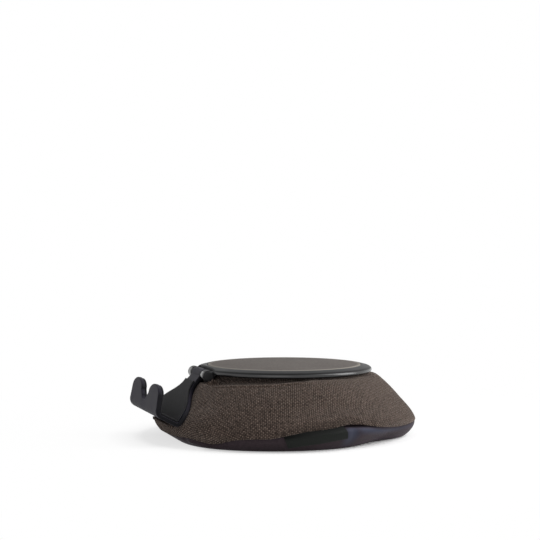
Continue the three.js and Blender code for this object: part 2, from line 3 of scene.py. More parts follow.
import bmesh
import bpy
import numpy as np
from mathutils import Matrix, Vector


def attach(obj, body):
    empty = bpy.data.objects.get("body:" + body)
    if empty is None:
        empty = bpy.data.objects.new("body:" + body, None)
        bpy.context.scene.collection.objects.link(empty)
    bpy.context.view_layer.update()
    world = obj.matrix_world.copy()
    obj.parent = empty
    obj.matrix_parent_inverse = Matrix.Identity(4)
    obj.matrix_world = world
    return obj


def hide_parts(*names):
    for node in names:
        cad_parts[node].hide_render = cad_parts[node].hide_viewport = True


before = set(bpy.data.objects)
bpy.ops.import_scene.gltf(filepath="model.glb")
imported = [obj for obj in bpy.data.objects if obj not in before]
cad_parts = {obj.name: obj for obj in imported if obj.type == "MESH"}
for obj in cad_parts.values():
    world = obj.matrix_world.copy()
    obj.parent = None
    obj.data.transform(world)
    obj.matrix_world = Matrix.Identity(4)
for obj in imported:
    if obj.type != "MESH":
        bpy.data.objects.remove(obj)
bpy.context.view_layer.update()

# The bag: a soft round bag of loose beads that is clamped under the top plate.
# Its skin is a straight slope that turns into an upright belly and rolls under to a flat foot.
# The cradle presses a hollow into the front, and a short cloth simulation lets the fabric settle.
MM = 0.001
BELLY_R, BELLY_Z, BELLY_RISE = 73.0, 10.0, 2.0
FOOT_IN, UNDERCUT, FOOT_HOLE_R = 8.5, 1.45, 4.0
FOOT_R = BELLY_R - FOOT_IN
SHOULDER_R, SHOULDER_Z, BAG_TOP_Z = 52.6, 32.7, 35.4
SIDE_SLOPE, SIDE_BULGE = math.radians(38), 11.0
NECK_HOLE_R, CLAMP_R, PAD_R = 29.75, 38.0, 42.6
SEAM_Z, SEAM_REACH = 7.5, 24.0
SEAM_LIFT, SEAM_PEAK, SEAM_RUN, SEAM_BEYOND = 6.4, 10, 33.5, 20
SEAM_BACK, SEAM_DIP, SEAM_DIP_AT, SEAM_DIP_RUN = 2.6, 2.4, -90, 48
# Bumps round the bag: millimetres, degrees from +X, degrees to either side.
SEAM_OVER_LABEL = (1.2, -10, 9)
SEAM_SAG = (3.0, -50, 9)
FOOT_SPREAD = ((3, -52, 35), (1.8, 75, 25), (-5.5, 33, 20), (-5, -90, 22), (-2, 8, 35), (-4, 43, 14))
HINGE_Y, HINGE_Z, KNUCKLE_R, KNUCKLE_HALF = -47.8, 35.2, 3.2, 9.0
ARM_TILT, ARM_BACK, ARM_NECK = math.radians(51.9), 0.2, 6.0
SOLE_FALL, SOLE_Y, SOLE_Z = math.radians(28), -74.0, 13.1
HOOK_HALF, HEEL_BEND, LUG_END = 32.5, 3.4, 16.75
PRESS_CLEAR, PRESS_HOLD, PRESS_BLEND, PRESS_FLANK, BARREL_FLANK = 0.7, 3.5, 2.0, 1.2, 1.92
NECK_ROWS, SHOULDER_ROWS, SLOPE_ROWS, SLOPE_FINE = 4, 8, 26, 200
SEAM_ROWS, UNDER_ROWS, UNDER_CROWD, FOOT_ROWS = 2, 20, 1.4, 8
BAG_COLUMNS = 240


def curve_rows(corners, steps):
    """Points of a Bezier curve of any degree, without its first point."""
    rows = []
    for t in np.linspace(0, 1, steps + 1)[1:]:
        points = [np.array(c, float) for c in corners]
        while len(points) > 1:
            points = [a + (b - a) * t for a, b in zip(points, points[1:])]
        rows.append(points[0])
    return rows


def even_rows(line, count):
    """Points spread evenly along a line, without its first point."""
    run = np.concatenate([[0], np.cumsum(np.linalg.norm(np.diff(line, axis=0), axis=1))])
    stops = np.linspace(0, run[-1], count + 1)[1:]
    return list(np.stack([np.interp(stops, run, line[:, k]) for k in (0, 1)], -1))


def rolled_under(z):
    """The skin's radius at a height below the belly."""
    drop = np.clip((BELLY_Z - z) / BELLY_Z, 0, 1)
    return FOOT_R + FOOT_IN * (1 - drop ** UNDERCUT) ** (1 / UNDERCUT)


lean, fall = SIDE_BULGE * math.cos(SIDE_SLOPE), SIDE_BULGE * math.sin(SIDE_SLOPE)
neck, pad_edge, shoulder = (NECK_HOLE_R, BAG_TOP_Z), (PAD_R, BAG_TOP_Z), (SHOULDER_R, SHOULDER_Z)
upper_skin = [np.array(neck)] + curve_rows([neck, pad_edge], NECK_ROWS)
upper_skin += curve_rows(
    [pad_edge, (SHOULDER_R - (SHOULDER_R - PAD_R) / 3, BAG_TOP_Z), shoulder], SHOULDER_ROWS)
slope = [upper_skin[-1]] + curve_rows(
    [shoulder, (SHOULDER_R + lean, SHOULDER_Z - fall), (BELLY_R, BELLY_Z + BELLY_RISE), (BELLY_R, BELLY_Z)],
    SLOPE_FINE)
skin_r, skin_z = np.array(upper_skin + slope[1:]).T
upper_skin += even_rows(np.array(slope), SLOPE_ROWS)
seam_heights = np.linspace(BELLY_Z, SEAM_Z, SEAM_ROWS + 1)[1:]
under_heights = SEAM_Z * (1 - np.linspace(0, 1, UNDER_ROWS + 1)[1:]) ** UNDER_CROWD
under_skin = [(rolled_under(z), z) for z in (*seam_heights, *under_heights)]
foot_skin = [(r, 0.0) for r in np.linspace(FOOT_R, FOOT_HOLE_R, FOOT_ROWS + 1)[1:]]
bag_rows = np.array(upper_skin + under_skin + foot_skin)
seam_row = len(upper_skin) + SEAM_ROWS - 1


def skin_radius(z):
    """The round bag's radius at a height."""
    return np.where(z <= BELLY_Z, rolled_under(z), np.interp(z, skin_z[::-1], skin_r[::-1]))


def smooth_step(x, low, high):
    """Rises softly from 0 to 1 between two values."""
    t = np.clip((x - low) / (high - low), 0, 1)
    return t * t * (3 - 2 * t)


def bell(x, middle, run, steepness=2):
    """A hump of height 1 that has mostly faded at that distance from its middle."""
    return np.exp(-((x - middle) / run) ** steepness)


def turn_from(angle, degrees):
    """The way round the bag from a place in degrees, to either side."""
    return (angle - math.radians(degrees) + math.pi) % (2 * math.pi) - math.pi


def bump_at(angle, middle, run):
    """A hump of height 1 at a place round the bag, both given in degrees."""
    return bell(turn_from(angle, middle), 0, math.radians(run))


def bumps(angle, *rows):
    """The sum of several bumps round the bag."""
    return sum(height * bump_at(angle, middle, run) for height, middle, run in rows)


def seam_lift(angle, over_label=True):
    """How far the seam is drawn up at the label and at the back, and pushed down round the cradle."""
    off = turn_from(angle, SEAM_PEAK)
    climb = np.maximum(0, 1 + off / math.radians(SEAM_RUN))
    beyond = bump_at(angle, SEAM_PEAK, SEAM_BEYOND)
    up = SEAM_LIFT * np.where(off < 0, climb, beyond) + SEAM_BACK * np.maximum(0, np.sin(angle)) ** 2
    if over_label:
        up = up + bumps(angle, SEAM_OVER_LABEL)
    dip = bell(turn_from(angle, SEAM_DIP_AT), 0, math.radians(SEAM_DIP_RUN), 4)
    return up - SEAM_DIP * dip - bumps(angle, SEAM_SAG)


def soft_min(a, b, blend):
    """The smaller of two values, rounded off where they meet."""
    h = np.maximum(blend - np.abs(a - b), 0) / blend
    return np.minimum(a, b) - h * h * blend / 4


arm_back_y = HINGE_Y - ARM_BACK / math.sin(ARM_TILT)
heel_y = SOLE_Z - HINGE_Z + math.tan(ARM_TILT) * arm_back_y + math.tan(SOLE_FALL) * SOLE_Y
heel_y /= math.tan(ARM_TILT) + math.tan(SOLE_FALL)


def press_height(x, y):
    """Height to which the cradle and its hinge let the bag rise."""
    arm = HINGE_Z + math.tan(ARM_TILT) * (y - arm_back_y)
    sole = SOLE_Z - math.tan(SOLE_FALL) * (y - SOLE_Y)
    share = (y - HINGE_Y + ARM_NECK / 2) / (heel_y + HEEL_BEND - HINGE_Y + ARM_NECK / 2)
    half = KNUCKLE_HALF + (HOOK_HALF - KNUCKLE_HALF) * np.clip(share, 0, 1) + PRESS_CLEAR
    cradle = -soft_min(-arm, -sole, HEEL_BEND) + PRESS_FLANK * np.maximum(0, np.abs(x) - half)
    behind = np.maximum(0, np.abs(y - HINGE_Y) - KNUCKLE_R - PRESS_CLEAR)
    beside = np.maximum(0, np.abs(x) - LUG_END - PRESS_CLEAR)
    barrel = HINGE_Z - KNUCKLE_R + BARREL_FLANK * np.hypot(behind, beside)
    return np.minimum(cradle, barrel) - PRESS_CLEAR


def bag_shape(angle, r, z):
    """Where the cloth at this angle, radius and height of the round bag lies, and how far it is pressed."""
    follows = (r > CLAMP_R) & (z < SEAM_REACH)
    share = smooth_step(z, 0, SEAM_Z) * (1 - smooth_step(z, SEAM_Z, SEAM_REACH))
    lifted = np.where(follows, z + seam_lift(angle) * share, z)
    r = np.where(follows, r + skin_radius(lifted) - skin_radius(z), r)
    x, y = r * np.cos(angle), r * np.sin(angle)
    free = np.interp(r, skin_r, skin_z)
    pressed = soft_min(free, press_height(x, y), PRESS_BLEND)
    hold = np.minimum(PRESS_HOLD, pressed / 2)
    share = np.minimum(1, (pressed - hold) / (free - hold))
    spread = 1 + bumps(angle, *FOOT_SPREAD) / FOOT_R * np.maximum(0, 1 - z / BELLY_Z)
    height = np.where(lifted > hold, hold + (lifted - hold) * share, lifted)
    return np.stack([x * spread, y * spread, height], -1), share


bag_angles = np.arange(BAG_COLUMNS) * 2 * math.pi / BAG_COLUMNS - math.pi
row_grid, angle_grid = np.meshgrid(np.arange(len(bag_rows)), bag_angles, indexing="ij")
bag_at, bag_pressed = bag_shape(angle_grid, bag_rows[row_grid, 0], bag_rows[row_grid, 1])


def grid_faces(rows, columns, wraps=True):
    """Four-sided faces between a grid's rows, facing outwards when rows run down and columns run left."""
    faces = []
    for i in range(rows - 1):
        for j in range(columns if wraps else columns - 1):
            k = (j + 1) % columns
            faces.append((i * columns + j, (i + 1) * columns + j, (i + 1) * columns + k, i * columns + k))
    return faces


def foot_face(rows, columns):
    """The face that closes the last row of a grid from below."""
    return [(rows - 1) * columns + j for j in reversed(range(columns))]


def placed(name, data):
    """An object at the origin that holds a mesh, a curve, a light or a camera."""
    made = bpy.data.objects.new(name, data)
    bpy.context.scene.collection.objects.link(made)
    return made


def new_piece(name, points, faces):
    """A mesh object at the origin from points in millimetres."""
    mesh = bpy.data.meshes.new(name)
    mesh.from_pydata([tuple(p) for p in np.asarray(points, float) * MM], [], faces)
    mesh.validate()
    return placed(name, mesh)


SETTLE_FRAMES, SETTLE_EASE, SETTLE_LIMIT, SETTLE_SHARE, BASE_CALM = 20, 2, 1.6, 0.6, 0.25
HELD_R, HELD_Z, HELD_PRESSED = 45, 1.2, 25
CLOTH = dict(quality=6, mass=0.2, tension_stiffness=12, compression_stiffness=12, shear_stiffness=5,
             bending_stiffness=0.3, use_pressure=True, uniform_pressure_force=4, shrink_min=-0.02)
BELLY_ROWS, BELLY_EASE = 7.0, 8


def settled(rest, columns, held):
    """How the cloth settles on its beads: a short simulation with pressure from inside and a little slack."""
    faces = grid_faces(len(rest), columns) + [foot_face(len(rest), columns), list(range(columns))]
    trial = new_piece("bag_trial", rest.reshape(-1, 3), faces)
    group = trial.vertex_groups.new(name="held")
    for i in np.flatnonzero(held.ravel() > 0):
        group.add([int(i)], float(held.ravel()[i]), "REPLACE")
    cloth = trial.modifiers.new("settle", "CLOTH")
    for key, value in CLOTH.items():
        setattr(cloth.settings, key, value)
    cloth.settings.vertex_group_mass = "held"
    cloth.settings.effector_weights.gravity = 0
    cloth.collision_settings.use_collision = False
    cloth.point_cache.frame_start = 1
    cloth.point_cache.frame_end = SETTLE_FRAMES
    scene = bpy.context.scene
    for step in range(1, SETTLE_FRAMES + 1):
        scene.frame_set(step)
    depsgraph = bpy.context.evaluated_depsgraph_get()
    result = trial.evaluated_get(depsgraph).data
    moved = np.zeros(len(result.vertices) * 3)
    result.vertices.foreach_get("co", moved)
    scene.frame_set(1)
    bpy.data.objects.remove(trial)
    return moved.reshape(rest.shape) / MM - rest


def between(coarse, axis, wraps):
    """Doubles a grid along one axis with smooth values in between."""
    pad = [(0, 0)] * coarse.ndim
    pad[axis] = (1, 2)
    wide = np.pad(coarse, pad, mode="wrap" if wraps else "edge")
    count = coarse.shape[axis]
    take = lambda start: np.take(wide, range(start, start + count), axis)
    half = (9 * (take(1) + take(2)) - take(0) - take(3)) / 16
    shape = list(coarse.shape)
    shape[axis] *= 2
    both = np.stack([coarse, half], axis + 1).reshape(shape)
    return both if wraps else np.take(both, range(2 * count - 1), axis)


def outward(grid):
    """Unit normals of a grid of points whose columns run round the bag."""
    down = np.gradient(grid, axis=0)
    around = np.roll(grid, -1, 1) - np.roll(grid, 1, 1)
    normal = np.cross(down, around)
    return normal / np.maximum(np.linalg.norm(normal, axis=-1, keepdims=True), 1e-9)


coarse, coarse_rows = bag_at[::2, ::2], bag_rows[::2]
held = np.zeros(coarse.shape[:2])
held[coarse_rows[:, 0] < HELD_R] = 1
held[coarse_rows[:, 1] < HELD_Z] = 1
held[seam_row // 2] = 1
held = np.maximum(held, np.clip((1 - bag_pressed[::2, ::2]) * HELD_PRESSED, 0, 1))
drift = settled(coarse, BAG_COLUMNS // 2, held)
far = np.linalg.norm(drift, axis=-1, keepdims=True)
drift *= SETTLE_LIMIT * np.tanh(far / SETTLE_LIMIT) / np.maximum(far, 1e-6)
coarse_out = outward(coarse)
loose = 1 - held
swelling = ((drift * coarse_out).sum(-1) * loose).sum(1) / np.maximum(loose.sum(1), 1)
drift -= coarse_out * swelling[:, None, None]
for _ in range(SETTLE_EASE):
    drift = (np.roll(drift, 1, 1) + 2 * drift + np.roll(drift, -1, 1)) / 4
    drift[1:-1] = (drift[:-2] + 2 * drift[1:-1] + drift[2:]) / 4
drift *= SETTLE_SHARE * loose[..., None]
drift[seam_row // 2 + 1:] *= BASE_CALM
bag_at = bag_at + between(between(drift, 0, False), 1, True)

# The belly is eased along its normals, so that the drawn-up seam leaves no sharp ridge.
belly_share = bell(np.arange(len(bag_rows)), seam_row, BELLY_ROWS, 4)[1:-1, None]
for _ in range(BELLY_EASE):
    bag_out = outward(bag_at)[1:-1]
    hollow = (((bag_at[:-2] + bag_at[2:]) / 2 - bag_at[1:-1]) * bag_out).sum(-1)
    bag_at[1:-1] += bag_out * (belly_share * hollow / 2)[..., None]
bag_out = outward(bag_at)

# Lower bag cover: smooth dark fabric that forms the foot and the low side of the bag.
# Its top is tucked behind the upper cover's edge and the label, and gathers in small folds along the seam.
# A bluish sheen is painted into its colour beside the label's end and in a band below the seam.
BASE_THICK, TUCK_DEPTHS = 0.7, (1.7, 1.5)
SET_BACK, SET_BACK_REACH = 0.8, 2.2
RIPPLE_REACH, BULGE_AT, BULGE_REACH, PUCKER_AT, PUCKER_REACH = 4.5, 2.6, 2.4, 2.8, 2.6
# Recesses: depth, degrees from +X, degrees to either side, reach below the seam, steepness of their end.
BASE_RECESSES = ((1.7, -5, 17, 2.6, 2), (2.3, 14, 11, 1.5, 4), (0.9, 38, 18, 1.2, 4))
# Ripples: height, waves round the bag, start of the first wave.
BASE_RIPPLES = ((0.04, 23, 1.1), (0.03, 41, 2.7))
# Bumps round the bag, as above.
BASE_BULGE = (1.0, 17, 9)
BASE_PUCKERS = ((-0.9, 13, 1.7), (0.5, 10, 1.6), (-0.6, -66, 2), (0.7, -62, 3))
base_rows = np.arange(seam_row, len(bag_rows))
base_at, base_angle = bag_at[base_rows], angle_grid[base_rows]
below_seam = np.linalg.norm(bag_rows[base_rows] - bag_rows[seam_row], axis=1)[:, None]
ripples = sum(height * np.sin(waves * base_angle + start) for height, waves, start in BASE_RIPPLES)
folds = ripples * bell(below_seam, 0, RIPPLE_REACH) * smooth_step(below_seam, 0.2, 2)
folds = folds + bumps(base_angle, BASE_BULGE) * bell(below_seam, BULGE_AT, BULGE_REACH)
folds = folds + bumps(base_angle, *BASE_PUCKERS) * bell(below_seam, PUCKER_AT, PUCKER_REACH)
set_back = SET_BACK * bell(below_seam, 0, SET_BACK_REACH)
for depth, middle, run, reach, steepness in BASE_RECESSES:
    set_back = set_back + depth * bump_at(base_angle, middle, run) * bell(below_seam, 0, reach, steepness)
above_table = smooth_step(base_at[..., 2], 0.3, 1.2)
base_at = base_at + bag_out[base_rows] * (folds * above_table - set_back)[..., None]
tuck_rows = range(seam_row - len(TUCK_DEPTHS), seam_row)
tucked = [bag_at[row] - bag_out[row] * depth for row, depth in zip(tuck_rows, TUCK_DEPTHS)]
base_grid = np.concatenate([np.array(tucked), base_at])
base_faces = grid_faces(len(base_grid), BAG_COLUMNS) + [foot_face(len(base_grid), BAG_COLUMNS)]
bag_base = new_piece("bag_base", base_grid.reshape(-1, 3), base_faces)
base_run = np.concatenate([[0] * len(tucked), below_seam[:, 0]]) * MM


def add_uv(piece, uv_of_vertex, columns, name):
    """A UV map in metres. The last column of faces runs on past the first, which leaves one clean join."""
    layer = piece.data.uv_layers.new(name=name)
    corner = np.zeros(len(piece.data.loops), int)
    piece.data.loops.foreach_get("vertex_index", corner)
    uv = np.zeros((len(corner), 2))
    for face in piece.data.polygons:
        ids = corner[face.loop_start:face.loop_start + face.loop_total]
        column, row = ids % columns, ids // columns
        if column.max() - column.min() > columns / 2:
            column = np.where(column < columns / 2, column + columns, column)
        uv[face.loop_start:face.loop_start + face.loop_total] = uv_of_vertex(row, column)
    layer.data.foreach_set("uv", uv.ravel().astype(np.float32))


def smooth(piece, degrees):
    """Smooth shading, with edges that turn by more than this left sharp."""
    piece.data.shade_smooth()
    piece.data.set_sharp_from_angle(angle=math.radians(degrees))


def finished(piece):
    """Makes a piece's modifiers part of its mesh."""
    depsgraph = bpy.context.evaluated_depsgraph_get()
    mesh = bpy.data.meshes.new_from_object(piece.evaluated_get(depsgraph))
    piece.modifiers.clear()
    old = piece.data
    piece.data = mesh
    bpy.data.meshes.remove(old)
    return piece


def thickened(piece, thickness):
    """Turns a grid into cloth of that thickness, which lies inside it."""
    wall = piece.modifiers.new("cloth", "SOLIDIFY")
    wall.thickness = thickness * MM
    wall.offset = -1
    finished(piece)
    smooth(piece, 60)


add_uv(bag_base, lambda row, column: np.stack([
    column * 2 * math.pi / BAG_COLUMNS * BELLY_R * MM, base_run[row]], -1), BAG_COLUMNS, "cloth")
thickened(bag_base, BASE_THICK)


def colour(red, green, blue):
    """A screen colour, 0 to 255, as the linear colour that a shader takes."""
    parts = [c / 255 for c in (red, green, blue)]
    return [c / 12.92 if c <= 0.04045 else ((c + 0.055) / 1.055) ** 2.4 for c in parts] + [1]


def node_maker(tree):
    """A maker of nodes for one tree, which links the sockets and sets the values that it is given."""
    def node(kind, inputs=(), **settings):
        made = tree.nodes.new(kind)
        for key, value in settings.items():
            setattr(made, key, value)
        for key, value in dict(inputs).items():
            if isinstance(value, bpy.types.NodeSocket):
                tree.links.new(value, made.inputs[key])
            else:
                made.inputs[key].default_value = value
        return made

    return node


def new_finish(name, roughness, specular=0.5):
    """A material with its shader, its link function, and a maker of further nodes for it."""
    material = bpy.data.materials.new(name)
    material.use_nodes = True
    tree = material.node_tree
    shader = tree.nodes["Principled BSDF"]
    shader.inputs["Roughness"].default_value = roughness
    shader.inputs["Specular IOR Level"].default_value = specular
    return material, shader, tree.links.new, node_maker(tree)


def own_place(node):
    """The place in the piece's own coordinates."""
    return node("ShaderNodeTexCoord").outputs["Object"]


def own_uv(node, name):
    """The place on one of the piece's UV maps."""
    return node("ShaderNodeUVMap", uv_map=name).outputs["UV"]


def axis_of(node, vector, letter):
    """One axis of a vector."""
    return node("ShaderNodeSeparateXYZ", {"Vector": vector}).outputs[letter]


def speckle(node, scale, detail, output="Fac"):
    """Noise that is fixed to the piece."""
    made = node("ShaderNodeTexNoise", {"Vector": own_place(node), "Scale": scale, "Detail": detail})
    return made.outputs[output]


def ribbing(node, vector, letter, scale, distortion, detail=2.0):
    """Even ribs across one axis."""
    made = node("ShaderNodeTexWave", {
        "Vector": vector, "Scale": scale, "Distortion": distortion, "Detail": detail}, bands_direction=letter)
    return made.outputs["Fac"]


def calc(node, operation, *values):
    """A sum on single values."""
    return node("ShaderNodeMath", dict(enumerate(values)), operation=operation).outputs["Value"]


def vector_calc(node, operation, *values):
    """A sum on vectors, which gives a single value for a length or a distance."""
    made = node("ShaderNodeVectorMath", dict(enumerate(values)), operation=operation)
    return made.outputs["Value" if operation in ("LENGTH", "DISTANCE") else "Vector"]


def ranged(node, value, low, high, to_low=0.0, to_high=1.0):
    """A value carried over from one range to another and held at its ends."""
    made = node("ShaderNodeMapRange", {
        "Value": value, "From Min": low, "From Max": high, "To Min": to_low, "To Max": to_high})
    return made.outputs["Result"]


def blended(node, factor, first, second, blend="MIX"):
    """Two colours mixed by a factor."""
    colours = {"Factor": factor, "A": first, "B": second}
    return node("ShaderNodeMix", colours, data_type="RGBA", blend_type=blend).outputs["Result"]


def shades(node, factor, *stops):
    """A colour ramp from (position, colour) stops."""
    ramp = node("ShaderNodeValToRGB", {"Fac": factor})
    while len(ramp.color_ramp.elements) < len(stops):
        ramp.color_ramp.elements.new(0.5)
    for element, (position, value) in zip(ramp.color_ramp.elements, stops):
        element.position = position
        element.color = value
    return ramp.outputs["Color"]


def two_tones(node, noise, dark, light):
    """The darker and the lighter tone of a noise, as screen colours."""
    return shades(node, noise, (0.3, colour(*dark)), (0.7, colour(*light)))


def relief(node, height, distance, strength=1.0, under=None):
    """A bump of that depth in metres."""
    inputs = {"Height": height, "Distance": distance, "Strength": strength}
    if under is not None:
        inputs["Normal"] = under
    return node("ShaderNodeBump", inputs).outputs["Normal"]


def sheen(shader, weight, roughness, tint):
    """The soft shine of a fabric's fibres."""
    shader.inputs["Sheen Weight"].default_value = weight
    shader.inputs["Sheen Roughness"].default_value = roughness
    shader.inputs["Sheen Tint"].default_value = colour(*tint)


def give(piece, material):
    """Makes this a piece's only material."""
    piece.data.materials.clear()
    piece.data.materials.append(material)


def around_at(degrees):
    """Where a place in degrees lies along the lower cover's UV map, in metres."""
    return (math.radians(degrees) + math.pi) * BELLY_R * MM


BASE_TONES, PAINTED_SHEEN_BLUE = ((52, 44, 47), (60, 51, 54)), (61, 65, 79)
# The painted sheen's patch and band, in metres below the seam: where the painted blue ends, and where it is
# full.
SHEEN_PATCH_MIDDLE, SHEEN_PATCH_END, SHEEN_PATCH_FULL = (around_at(12), 0.0025, 0), 0.0075, 0.002
SHEEN_BAND_END, SHEEN_BAND_FULL, EDGE_END, EDGE_FULL = 0.0042, 0.0021, 0.001, 0.0022
base_cloth, shader, link, node = new_finish("base_satin_cloth", 0.5, 0.05)
shader.inputs["Specular Tint"].default_value = colour(235, 225, 255)
cloth = own_uv(node, "cloth")
weave = ribbing(node, cloth, "X", 420.0, 0.6, 1.0)
fibre = speckle(node, 700.0, 2.0)
sheen_patch_distance = vector_calc(node, "DISTANCE", cloth, SHEEN_PATCH_MIDDLE)
sheen_patch = ranged(node, sheen_patch_distance, SHEEN_PATCH_END, SHEEN_PATCH_FULL, 0.0, 0.8)
along, down = axis_of(node, cloth, "X"), axis_of(node, cloth, "Y")
past_label = ranged(node, along, around_at(10), around_at(18))
far_side = ranged(node, along, around_at(65), around_at(30), 0.15, 0.9)
sheen_band = calc(node, "MULTIPLY", ranged(node, down, SHEEN_BAND_END, SHEEN_BAND_FULL),
            calc(node, "MULTIPLY", past_label, far_side))
past_edge = ranged(node, down, EDGE_END, EDGE_FULL)
# The painted bluish sheen: the patch beside the label and the band below the seam, kept out of the seam's
# recess.
blue = calc(node, "MULTIPLY", calc(node, "MAXIMUM", sheen_patch, sheen_band), past_edge)
satin = two_tones(node, fibre, *BASE_TONES)
link(blended(node, blue, satin, colour(*PAINTED_SHEEN_BLUE)), shader.inputs["Base Color"])
link(ranged(node, fibre, 0.0, 1.0, 0.45, 0.6), shader.inputs["Roughness"])
link(relief(node, weave, 0.00006, 0.5), shader.inputs["Normal"])
sheen(shader, 0.03, 0.4, (190, 180, 220))
give(bag_base, base_cloth)
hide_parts("bag_cover_base", "bead_fill")
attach(bag_base, "base")

# Upper bag cover: coarse brown-grey open weave, stretched over the beads from the plate to the seam.
# Its top is clamped under the plate, and at the label side it folds over below the rim.
# Its lower edge is turned in and overhangs the lower cover, and above the label shade is painted darker into
# its colour.
UPPER_THICK, THREAD_PITCH, THREADS_UPRIGHT = 0.9, 0.00098, math.radians(20)
FOLD_FROM, FOLD_TO, FOLD_DEEP, FOLD_HIGH, FOLD_MIDDLE, FOLD_REACH = -60, 0, 4.9, -1.1, 1.9, 5.0
FOLD_STEP, FOLD_RISE, FOLD_TOP_R, LIP_HIGH, LIP_AT, LIP_REACH = 1.1, 0.12, 50.4, 0.35, 0.9, 0.8
# Stretches round the bag, in degrees from +X: where they set in, are full, fade and end.
FOLD_SPAN, FOLLOW_SPAN = (-80, -62, -9, 1), (-120, -75, 2, 40)
# Soft waves: height, waves round the bag, start of the first wave, millimetres down the slope.
WAVE_HIGH, WAVE_TURNS, WAVE_START, WAVE_LONG = 0.16, 5, 0.8, 9
SLANT_HIGH, SLANT_TURNS, SLANT_START, SLANT_LONG = 0.1, 9, 2.2, 14
WAVE_FROM_R, WAVE_FULL_R, TUCK_FROM_R, TUCK_FULL_R = 50, 58, 40, 45
PRESSED_BELOW, PRESSED_GAIN = 0.97, 33
CLAMP_DEEP, CLAMP_AT_R, CLAMP_REACH = -0.7, 47.5, 2.2
EDGE_GATHERS, GATHER_REACH = ((-0.5, 13, 2.4), (0.35, 17.5, 2.6), (-0.35, 22, 2.4), (0.2, 26.5, 2.6)), 3.2
# Turned-in rows below the edge: distance inwards, drop, and distance along the cloth.
EDGE_TURN = ((0.12, 0.3, 0.3), (0.4, 0.45, 0.6))


def finer(rows):
    """Rows of the bag's grid, four times as close."""
    return between(between(rows, 0, False), 0, False)


def span(angle, start, full, fade, end):
    """Sets in softly round the bag and fades out again."""
    rise = smooth_step(angle, math.radians(start), math.radians(full))
    return rise * (1 - smooth_step(angle, math.radians(fade), math.radians(end)))


upper_at = finer(bag_at[:seam_row + 1])
upper_out = outward(upper_at)
upper_pressed = finer(bag_pressed[:seam_row + 1])
upper_angle = np.broadcast_to(bag_angles, upper_pressed.shape)
slope_r, slope_z = finer(bag_rows[:seam_row + 1]).T
down_run = np.concatenate([[0], np.cumsum(np.hypot(np.diff(slope_r), np.diff(slope_z)))])
under_rim = (down_run - down_run[np.argmax(slope_r > FOLD_TOP_R)])[:, None]
gathered = span(upper_angle, *FOLD_SPAN)
fold_at = np.interp(np.degrees(bag_angles), (FOLD_FROM, FOLD_TO), (FOLD_DEEP, FOLD_HIGH))
follow = bell(under_rim, FOLD_MIDDLE, FOLD_REACH) * (fold_at - FOLD_MIDDLE) * span(upper_angle, *FOLLOW_SPAN)
for j in range(BAG_COLUMNS):
    for grid in (upper_at[:, j].T, upper_out[:, j].T):
        for part in grid:
            part[:] = np.interp(under_rim[:, 0] + follow[:, j], under_rim[:, 0], part)
lip = gathered * LIP_HIGH * bell(under_rim + follow - fold_at, LIP_AT, LIP_REACH)
wave = WAVE_HIGH * np.sin(WAVE_TURNS * upper_angle + WAVE_START) * np.sin(down_run / WAVE_LONG)[:, None]
wave = wave + SLANT_HIGH * np.sin(SLANT_TURNS * upper_angle + SLANT_START + (down_run / SLANT_LONG)[:, None])
wave = wave * smooth_step(slope_r, WAVE_FROM_R, WAVE_FULL_R)[:, None]
clamped = CLAMP_DEEP * bell(slope_r, CLAMP_AT_R, CLAMP_REACH)[:, None]
free = np.clip((upper_pressed - PRESSED_BELOW) * PRESSED_GAIN, 0, 1)
edge_gathers = bumps(upper_angle, *EDGE_GATHERS) * bell(down_run, down_run[-1], GATHER_REACH)[:, None]
upper_at = upper_at + upper_out * ((lip + wave + clamped) * free + edge_gathers)[..., None]
fold_row = np.argmin(np.abs(under_rim[:, 0] - FOLD_MIDDLE))
upper_r = np.linalg.norm(upper_at[..., :2], axis=-1)
behind_fold = np.maximum(0, upper_r[fold_row] - upper_r)
tucked_z = upper_at[fold_row, :, 2] - np.minimum(FOLD_STEP, behind_fold) + FOLD_RISE * behind_fold
tuck_down = np.maximum(0, upper_at[..., 2] - tucked_z) * gathered * free
tuck_down = tuck_down * smooth_step(upper_r, TUCK_FROM_R, TUCK_FULL_R)
upper_at[:fold_row, :, 2] -= tuck_down[:fold_row]
turned_in = [upper_at[-1] - upper_out[-1] * inward - np.array((0, 0, drop)) for inward, drop, _ in EDGE_TURN]
upper_grid = np.concatenate([upper_at, np.array(turned_in)])
bag_upper = new_piece("bag_upper", upper_grid.reshape(-1, 3), grid_faces(len(upper_grid), BAG_COLUMNS))
shoulder_run = down_run[np.argmax(slope_r >= SHOULDER_R)]
cone_share = (BELLY_R - SHOULDER_R) / (down_run[-1] - shoulder_run)
apex = SHOULDER_R / cone_share - shoulder_run
cut_run = down_run[:, None] + follow
cut_run = np.concatenate([cut_run] + [cut_run[-1:] + further for _, _, further in EDGE_TURN])
edge_run = np.concatenate([down_run[-1] - down_run, [0] * len(EDGE_TURN)]) * MM


def way_round(column):
    """The angle of a column of the grid."""
    return (column / BAG_COLUMNS - 0.5) * 2 * math.pi


def flat_cut(row, column):
    """A point's place on the flat panel that the cover was cut from, so that its threads run straight."""
    reach = (apex + cut_run[row, column % BAG_COLUMNS]) * MM
    turn = (way_round(column) + THREADS_UPRIGHT) * cone_share
    return np.stack([reach * np.cos(turn), reach * np.sin(turn)], -1)


add_uv(bag_upper, flat_cut, BAG_COLUMNS, "cloth")
add_uv(bag_upper, lambda row, column: np.stack([way_round(column) * BELLY_R * MM, edge_run[row]], -1),
       BAG_COLUMNS, "edge")
thickened(bag_upper, UPPER_THICK)

